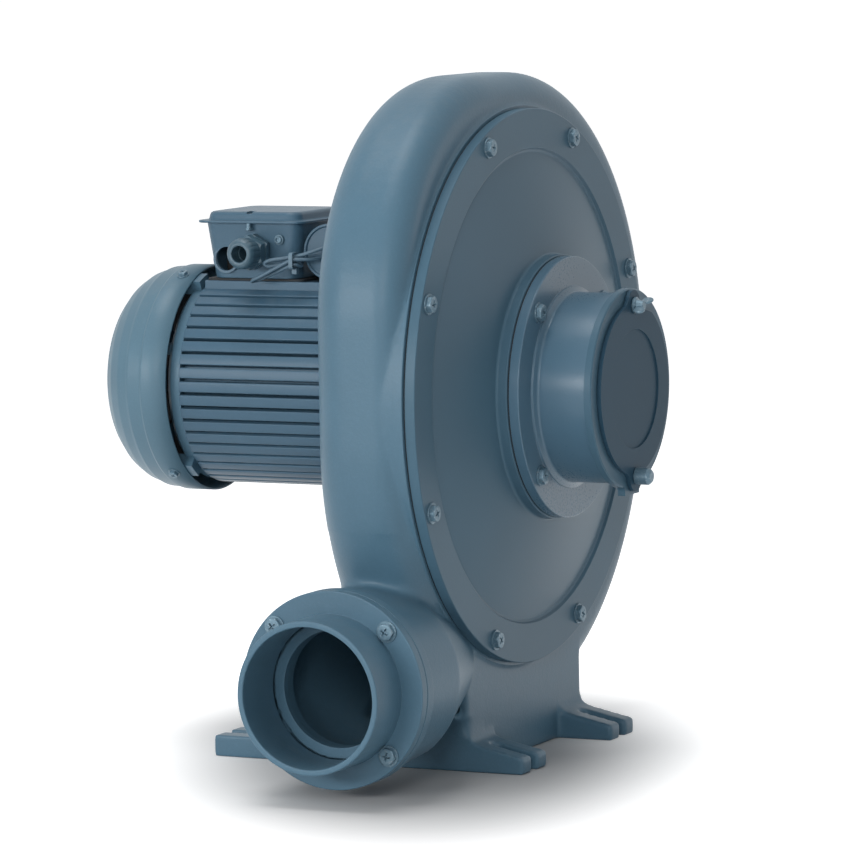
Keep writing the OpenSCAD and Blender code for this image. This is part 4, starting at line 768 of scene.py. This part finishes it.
def terminal_box():
    """Pressed box with open cable holes, and its lid with a rim that stands over the walls."""
    here = Matrix.Translation((0, BOX_Y, BOX_Z))
    w, l, t, h = 90.0, 91.0, 2.5, LID_Z - BOX_Z
    levels = [(w - 12, l - 12, 12, 0), (w - 9.2, l - 9.2, 13.4, 0.5), (w - 8, l - 8, 14, 2),
              (w - 6, l - 6, 12, 16), (w, l, 10, h - 0.4), (w - 0.8, l - 0.8, 9.6, h),
              (w - 2 * t, l - 2 * t, 8, h), (w - 6 - 2 * t, l - 6 - 2 * t, 10, 16),
              (w - 9 - 2 * t, l - 9 - 2 * t, 11, t)]
    box = placed(shell_loft("box", levels), here)
    cutters = [rod_mesh(CABLE_HOLE_R, 0, 32, facing((-60, y, z), (1, 0, 0)))
               for y, z in ((GLAND_Y, GLAND_Z), (SPARE_Y, SPARE_Z))]
    cutters.append(rod_mesh(5, 0, 20, facing((-34, BOX_Y - 50, BOX_Z + 16), (0, 1, 0))))
    box = cut_by(box, joined("cutters", cutters))
    collar = lathe_mesh("collar", [
        (CABLE_HOLE_R, 0, 0.2), (12.6, 0, 0), (12.6, 0.7, 0.4), (CABLE_HOLE_R, 0.7, 0.4)],
        facing((-42.6, SPARE_Y, SPARE_Z), (-1, 0, 0)) @ Matrix.Rotation(0.1, 4, "Y"), 64)
    whole = joined("box", [box, collar])
    add_piece("terminal_box_pressed", whole, "box_paint", "housing", ("terminal_box",), 35)
    lw, ll = w + 12, l + 12
    levels = [(lw - 28, ll - 28, 8, 7), (lw - 15, ll - 15, 8, 0), (lw - 1, ll - 1, 11.5, 0),
              (lw, ll, 12, 0.5), (lw, ll, 12, 1.6), (lw - 0.8, ll - 0.8, 11.6, 2),
              (lw - 11, ll - 11, 11.5, 2.05),
              (lw - 13, ll - 13, 11, 2.5), (lw - 14, ll - 14, 11, 3.6), (lw - 15, ll - 15, 11, 6.4),
              (lw - 16.4, ll - 16.4, 10.6, 8.0), (lw - 19, ll - 19, 10.2, 9.1), (lw - 23, ll - 23, 9.5, 9.5)]
    lid = placed(shell_loft("lid", levels, 10), Matrix.Translation((0, BOX_Y, LID_Z)))
    notch = block_mesh((-lw / 2 - 1, BOX_Y - 1, LID_Z + 7.5), (-lw / 2 + 18, BOX_Y + 5, LID_Z + 12), 0.6)
    lid = cut_by(lid, notch)
    add_piece("terminal_box_lid_pressed", lid, "box_paint", "housing", ("terminal_box_lid",), 35)


def lid_screws():
    """Screws held under the lid's rim, heads down."""
    meshes = []
    for x in (-48.2, 48.2):
        meshes.append(placed(screw_mesh(5.5, 2.2, washer=False), facing((x, BOX_Y, LID_Z - 4), (0, 0, -1))))
        meshes.append(lathe_mesh("stem", [(0, -4, 0), (2.2, -4, 0.1), (2.2, 0.5, 0), (0, 0.5, 0)],
                                 Matrix.Translation((x, BOX_Y, LID_Z)), 32))
    add_piece("lid_screws_turned", joined("lid_screws", meshes), "bolt_zinc", "housing", ("lid_screws",))


def earth_screw():
    """Low round head with a socket, on its washer."""
    head = lathe_mesh("head", [(0, 0, 0), (4.4, 0, 0.1), (4.4, 0.8, 0.3), (3.6, 0.8, 0.1), (3.6, 2.2, 0.9),
                               (2.0, 3.2, 0.4), (1.8, 1.0, 0.1), (0, 1.0, 0)],
                      facing((-45.2, BOX_Y - 27, SHAFT_Z + 123.5), (-1, 0, 0)), 48, 3)
    add_piece("earth_screw_turned", head, "bolt_zinc", "housing", ("earth_screw",))


def hexagon_mesh(across, low, high, bore, sides=72, crown=0.9):
    """Hexagonal collar with its corners turned off at both ends."""
    rings = []
    for z, shrink in ((low, 0.16), (low + crown, 0), (high - crown, 0), (high, 0.16)):
        ring = []
        for k in range(sides):
            a = 2 * math.pi * k / sides
            flat = (across / 2) / math.cos(a % (math.pi / 3) - math.pi / 6)
            reach = min(flat, across / 2 * (1.15 - shrink))
            ring.append((reach * math.cos(a), reach * math.sin(a), z))
        rings.append(ring)
    turns = [2 * math.pi * k / sides for k in range(sides)]
    rings += [[(bore * math.cos(a), bore * math.sin(a), z) for a in turns] for z in (high, low)]
    return grid_mesh("hexagon", rings, wrap_rings=True)


def cable_gland():
    """Gland body with its thread, and the ribbed cap with an open bore."""
    stand = facing((-44.3, GLAND_Y, GLAND_Z), (-1, 0, 0))
    thread = [(6.6, -7.5, 0), (10, -7.5, 0.2), (10, 7.2, 0)]
    for k in range(7):
        thread += [(10.0, 7.6 + 1.5 * k, 0.2), (9.4, 8.3 + 1.5 * k, 0.2)]
    thread += [(9.4, 19, 0.2), (6.6, 19, 0.2)]
    body = joined("gland", [lathe_mesh("thread", thread, stand, 96, 2),
                            placed(hexagon_mesh(27, 0.2, 7.2, 6.6), stand),
                            placed(hexagon_mesh(25.5, -10.5, -6.5, 6.6), stand)])
    add_piece("gland_body_moulded", body, "gland_plastic", "housing", ("gland_body",), 45)
    sides, rings = 144, []
    for r, z, rib in ((12.9, 16.9, 1), (13.2, 17.4, 1), (13.4, 26.5, 1), (12.9, 29.2, 0.6), (11.6, 31.4, 0.2),
                      (9.6, 32.7, 0), (8.2, 32.9, 0), (7.2, 32.2, 0), (7.2, 19.3, 0), (10.05, 19.3, 0),
                      (10.05, 16.9, 0)):
        ring = []
        for a in np.linspace(0, 2 * math.pi, sides, endpoint=False):
            reach = r - 0.45 * rib * max(0.0, math.cos(18 * a)) ** 2
            ring.append((reach * math.cos(a), reach * math.sin(a), z))
        rings.append(ring)
    dome = placed(grid_mesh("dome", rings, wrap_rings=True), stand)
    cap = joined("cap", [dome, placed(hexagon_mesh(26.3, 8, 17, 10.05), stand)])
    add_piece("gland_cap_moulded", cap, "gland_plastic", "housing", ("gland_cap",), 45)


# Routes of the two leads, from the part's source
LEAD_A = [
    (-37.3, 114, 118), (-43, 114.5, 118), (-49, 120, 116.5), (-54, 130, 113), (-56, 141.5, 110),
    (-58, 152, 108.5), (-60.5, 162, 107), (-61, 167, 104.5), (-59, 164, 101.8), (-56.5, 154, 103.6),
    (-55.5, 141.5, 106.4), (-52.8, 136.8, 107.2), (-48, 137.3, 107.4), (-43.5, 140.7, 107.4),
    (-40, 144, 107.2), (-37, 147.5, 107), (-36.2, 152, 107)]
LEAD_B = [
    (-37.3, 122, 108), (-43, 122.5, 108), (-50, 126, 108), (-56, 134, 107.8), (-59.5, 141.5, 107.6),
    (-62, 154, 101.5), (-63, 168, 94.5), (-62.3, 177, 90.6), (-59, 179.5, 88.9), (-55.5, 174, 90.6),
    (-57, 160, 96), (-58.8, 141.5, 103.4), (-53, 137, 102.2), (-45, 140, 103), (-38.5, 144, 103.4),
    (-33.4, 147.8, 104), (-32.3, 152, 104)]


def along(points, steps):
    """Smooth line through points."""
    p = [Vector(q) for q in points]
    line = []
    for i in range(len(p) - 1):
        a, b, c, d = p[max(i - 1, 0)], p[i], p[i + 1], p[min(i + 2, len(p) - 1)]
        for k in range(steps):
            t = k / steps
            line.append(0.5 * (2 * b + (c - a) * t + (2 * a - 5 * b + 4 * c - d) * t * t
                               + (3 * b - a - 3 * c + d) * t ** 3))
    return line + [p[-1]]


def tube_mesh(points, r, steps=8, sides=16):
    """Round cord along a smooth line through points."""
    line = along(points, steps)
    rings = []
    up = Vector((0.3, 0.1, 1))
    for i, spot in enumerate(line):
        way = (line[min(i + 1, len(line) - 1)] - line[max(i - 1, 0)]).normalized()
        u = way.cross(up).normalized()
        v = way.cross(u)
        turns = [2 * math.pi * k / sides for k in range(sides)]
        rings.append([tuple(spot + r * (math.cos(a) * u + math.sin(a) * v)) for a in turns])
    return grid_mesh("tube", rings, caps=True)


def capacitor_and_leads():
    """Capacitor can, its two leads, and the tie that holds them."""
    cap_y, cap_z = (span("capacitor")[0].y + span("capacitor")[1].y) / 2, SHAFT_Z + 113.3
    low = span("capacitor")[0].x
    place = facing((low, cap_y, cap_z), (1, 0, 0))
    can = lathe_mesh("can", [
        (0, 2, 0), (21.3, 2, 0.6), (21.8, 0, 0.8), (24, 0, 1.0), (24, 3, 0.8), (23.2, 4.5, 0.8),
        (23.2, 76, 1.2), (21, 78, 1.2), (0, 78, 0)], place, 128)
    boss = [lathe_mesh("boss", [(0, 1.9, 0), (3.4, 1.9, 0), (3.0, 2.9, 0.4), (0, 2.9, 0)],
                       facing((low, y, SHAFT_Z + z), (1, 0, 0)) @ Matrix.Translation((0, 0, -1.0)), 32)
            for y, z in ((114, 118), (122, 108))]
    add_piece("capacitor_can", joined("can", [can] + boss), "can_paint", "housing", ("capacitor",))
    tubes = [tube_mesh([(x, y, z + SHAFT_Z) for x, y, z in route], 1.6) for route in (LEAD_A, LEAD_B)]
    add_piece("leads_round", joined("leads", tubes), "lead_jacket", "housing", ("capacitor_leads",))
    low, high = (span("cable_tie")[k] for k in (0, 1))
    band_low = low.z + 4.7
    mid_y = (low.y + high.y) / 2
    outer = round_rect(high.x - low.x - 0.2, high.z - band_low, 2.4, 6)
    stand = (Matrix.Translation(((low.x + high.x) / 2, mid_y, (band_low + high.z) / 2))
             @ Matrix.Rotation(math.radians(90), 4, "X"))
    inner = [(px * 0.80, py * 0.83) for px, py in outer]
    wide = [(px * 0.985, py * 0.985) for px, py in outer]

    def at(points, h):
        return [(px, py, h) for px, py in points]

    band = grid_mesh("band", [at(outer, -1.3), at(outer, 1.3), at(wide, 1.8), at(inner, 1.8), at(inner, -1.8),
                              at(wide, -1.8)], wrap_rings=True)
    band.transform(stand)
    lock = block_mesh((high.x - 4.8, mid_y - 2.5, low.z), (high.x, mid_y + 2.5, low.z + 5.3), 0.7)
    add_piece("tie_band", joined("tie", [band, lock]), "tie_plastic", "housing", ("cable_tie",))


# Floor, background and light

BACKDROP_RAYS = ("Is Camera Ray", "Is Glossy Ray", "Is Transmission Ray")


def pale_floor():
    """A wide pale floor that keeps the blower's shadow, adds a painted shadow round the blower, and runs into
    the white background.
    """
    r = Recipe("pale_floor")
    at = r.place()
    mottle = r.noise(at, 400, 2)
    plain = r.node("ShaderNodeBsdfDiffuse", {}, {"Color": r.mixed(mottle, rgb("f4f4f4"), rgb("f8f8f8"))})
    # Painted shadow: near the blower the floor takes this darker grey and none of the glow that lifts the
    # floor to white further out.
    painted_shadow = r.node("ShaderNodeBsdfDiffuse", {}, {"Color": r.mixed(mottle, rgb("c4c4c4"), rgb("c8c8c8"))})
    off = r.node("ShaderNodeMapping", {"vector_type": "TEXTURE"}, {
        "Vector": at, "Location": (-0.063, 0.027, 0.0), "Rotation": (0, 0, math.radians(25.5)),
        "Scale": (2.0, 1.0, 1.0)})
    away = r.node("ShaderNodeVectorMath", {"operation": "LENGTH"}, {0: off}, out=1)
    glow = r.node("ShaderNodeEmission", {}, {"Color": (1, 1, 1, 1), "Strength": 0.86})
    far = r.node("ShaderNodeAddShader", {}, {0: plain, 1: glow})
    shadow_or_lift = r.node("ShaderNodeMixShader", {}, {0: away.between(0.1, 0.3), 1: painted_shadow, 2: far})
    seen = r.node("ShaderNodeLightPath", out=BACKDROP_RAYS[0])
    for kind in BACKDROP_RAYS[1:]:
        seen = seen.math("MAXIMUM", seen, r.node("ShaderNodeLightPath", out=kind))
    shown = r.node("ShaderNodeMixShader", {}, {0: seen, 1: plain, 2: shadow_or_lift})
    r.node("ShaderNodeOutputMaterial", {}, {"Surface": shown})
    mesh = bpy.data.meshes.new("floor")
    far_out = 90.0
    z = cad_box[0].z - 0.0002
    corners = [(-far_out, -far_out, z), (far_out, -far_out, z), (far_out, far_out, z), (-far_out, far_out, z)]
    mesh.from_pydata(corners, [], [(0, 1, 2, 3)])
    mesh.materials.append(r.material)
    floor = bpy.data.objects.new("floor", mesh)
    bpy.context.collection.objects.link(floor)


def white_world(fill):
    """Soft light from all round, and plain white where the camera or a reflection sees it."""
    world = bpy.data.worlds.new("studio")
    bpy.context.scene.world = world
    world.use_nodes = True
    tree = world.node_tree
    tree.nodes.clear()
    add = tree.nodes.new
    rays, out = add("ShaderNodeLightPath"), add("ShaderNodeOutputWorld")
    soft, white, pick = add("ShaderNodeBackground"), add("ShaderNodeBackground"), add("ShaderNodeMixShader")
    soft.inputs["Color"].default_value = (0.93, 0.97, 1.0, 1)
    soft.inputs["Strength"].default_value = fill
    white.inputs["Strength"].default_value = 1.0
    white.inputs["Color"].default_value = (1, 1, 1, 1)
    seen = rays.outputs[BACKDROP_RAYS[0]]
    for name in BACKDROP_RAYS[1:]:
        either = add("ShaderNodeMath")
        either.operation = "MAXIMUM"
        tree.links.new(seen, either.inputs[0])
        tree.links.new(rays.outputs[name], either.inputs[1])
        seen = either.outputs[0]
    tree.links.new(seen, pick.inputs[0])
    tree.links.new(soft.outputs[0], pick.inputs[1])
    tree.links.new(white.outputs[0], pick.inputs[2])
    tree.links.new(pick.outputs[0], out.inputs["Surface"])


def softbox(name, place, aim, size, power, colour=(1, 1, 1)):
    """A rectangular lamp that looks at a point."""
    light = bpy.data.lights.new(name, "AREA")
    light.shape, light.size, light.size_y = "RECTANGLE", size[0], size[1]
    light.energy, light.color = power, colour
    lamp = bpy.data.objects.new(name, light)
    lamp.location = place
    lamp.rotation_mode = "QUATERNION"
    lamp.rotation_quaternion = (Vector(aim) - Vector(place)).to_track_quat("-Z", "Y")
    bpy.context.collection.objects.link(lamp)


# Putting it together

cast_casing()
cover_seat_ring()
outlet_flange_ring()
front_cover()
inlet_pipe()
outlet_spigot()
damper()
outlet_seal()
motor_ends()
motor_frame()
fan_cover()
terminal_box()
cable_gland()
capacitor_and_leads()
cover_seats = ring_of(8, COVER_SCREW_R, 22.5, Y_COVER)
screws("cover_screws", "cover_bolts", cover_seats, lambda p: (0, -1, 0), *M8_HEAD)
inlet_seats = ring_of(4, INLET_SCREW_R, 45, Y_FLANGE - FLANGE_THICK)
screws("inlet_screws", "inlet_bolts", inlet_seats, lambda p: (0, -1, 0), *M8_HEAD)
spigot_face = span("outlet_gasket")[0].x - FLANGE_THICK
spigot_seats = [(spigot_face, SPIGOT_SCREW_R * math.cos(math.radians(a)),
                 OUTLET_Z + SPIGOT_SCREW_R * math.sin(math.radians(a))) for a in (45, 135, 225, 315)]
screws("outlet_screws", "outlet_bolts", spigot_seats, lambda p: (-1, 0, 0), *M8_HEAD)
cowl_seats = ring_of(3, 98, 112, Y_COWL + 13)
screws("cowl_screws", "fan_cover_screws", cowl_seats, lambda p: (p[0], 0, p[2] - SHAFT_Z), *M5_HEAD)
earth_screw()
lid_screws()

shown_by_piece = {node for piece in bpy.data.objects for node in piece.get("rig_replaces", [])}
for part in frame["record"]["subparts"]:
    if part["node"] in shown_by_piece:
        continue
    plain = frame["nodes"][part["node"]]
    for place in plain.material_slots:
        place.material = FINISH[part["material_slot"]]

pale_floor()
white_world(0.22)
softbox("left_softbox", (-3.3, 1.2, 0.95), (0, 0, 0.3), (2.2, 0.5), 52)
softbox("top_softbox", (-0.4, 0.3, 2.9), (0, 0, 0.2), (1.5, 1.3), 30)
softbox("front_softbox", (-3.3, -1.3, 1.3), (0, 0, 0.3), (0.7, 1.0), 26)
softbox("warm_card", (2.2, -2.6, 0.9), (0, 0, 0.3), (1.0, 1.2), 6, (1.0, 0.86, 0.84))
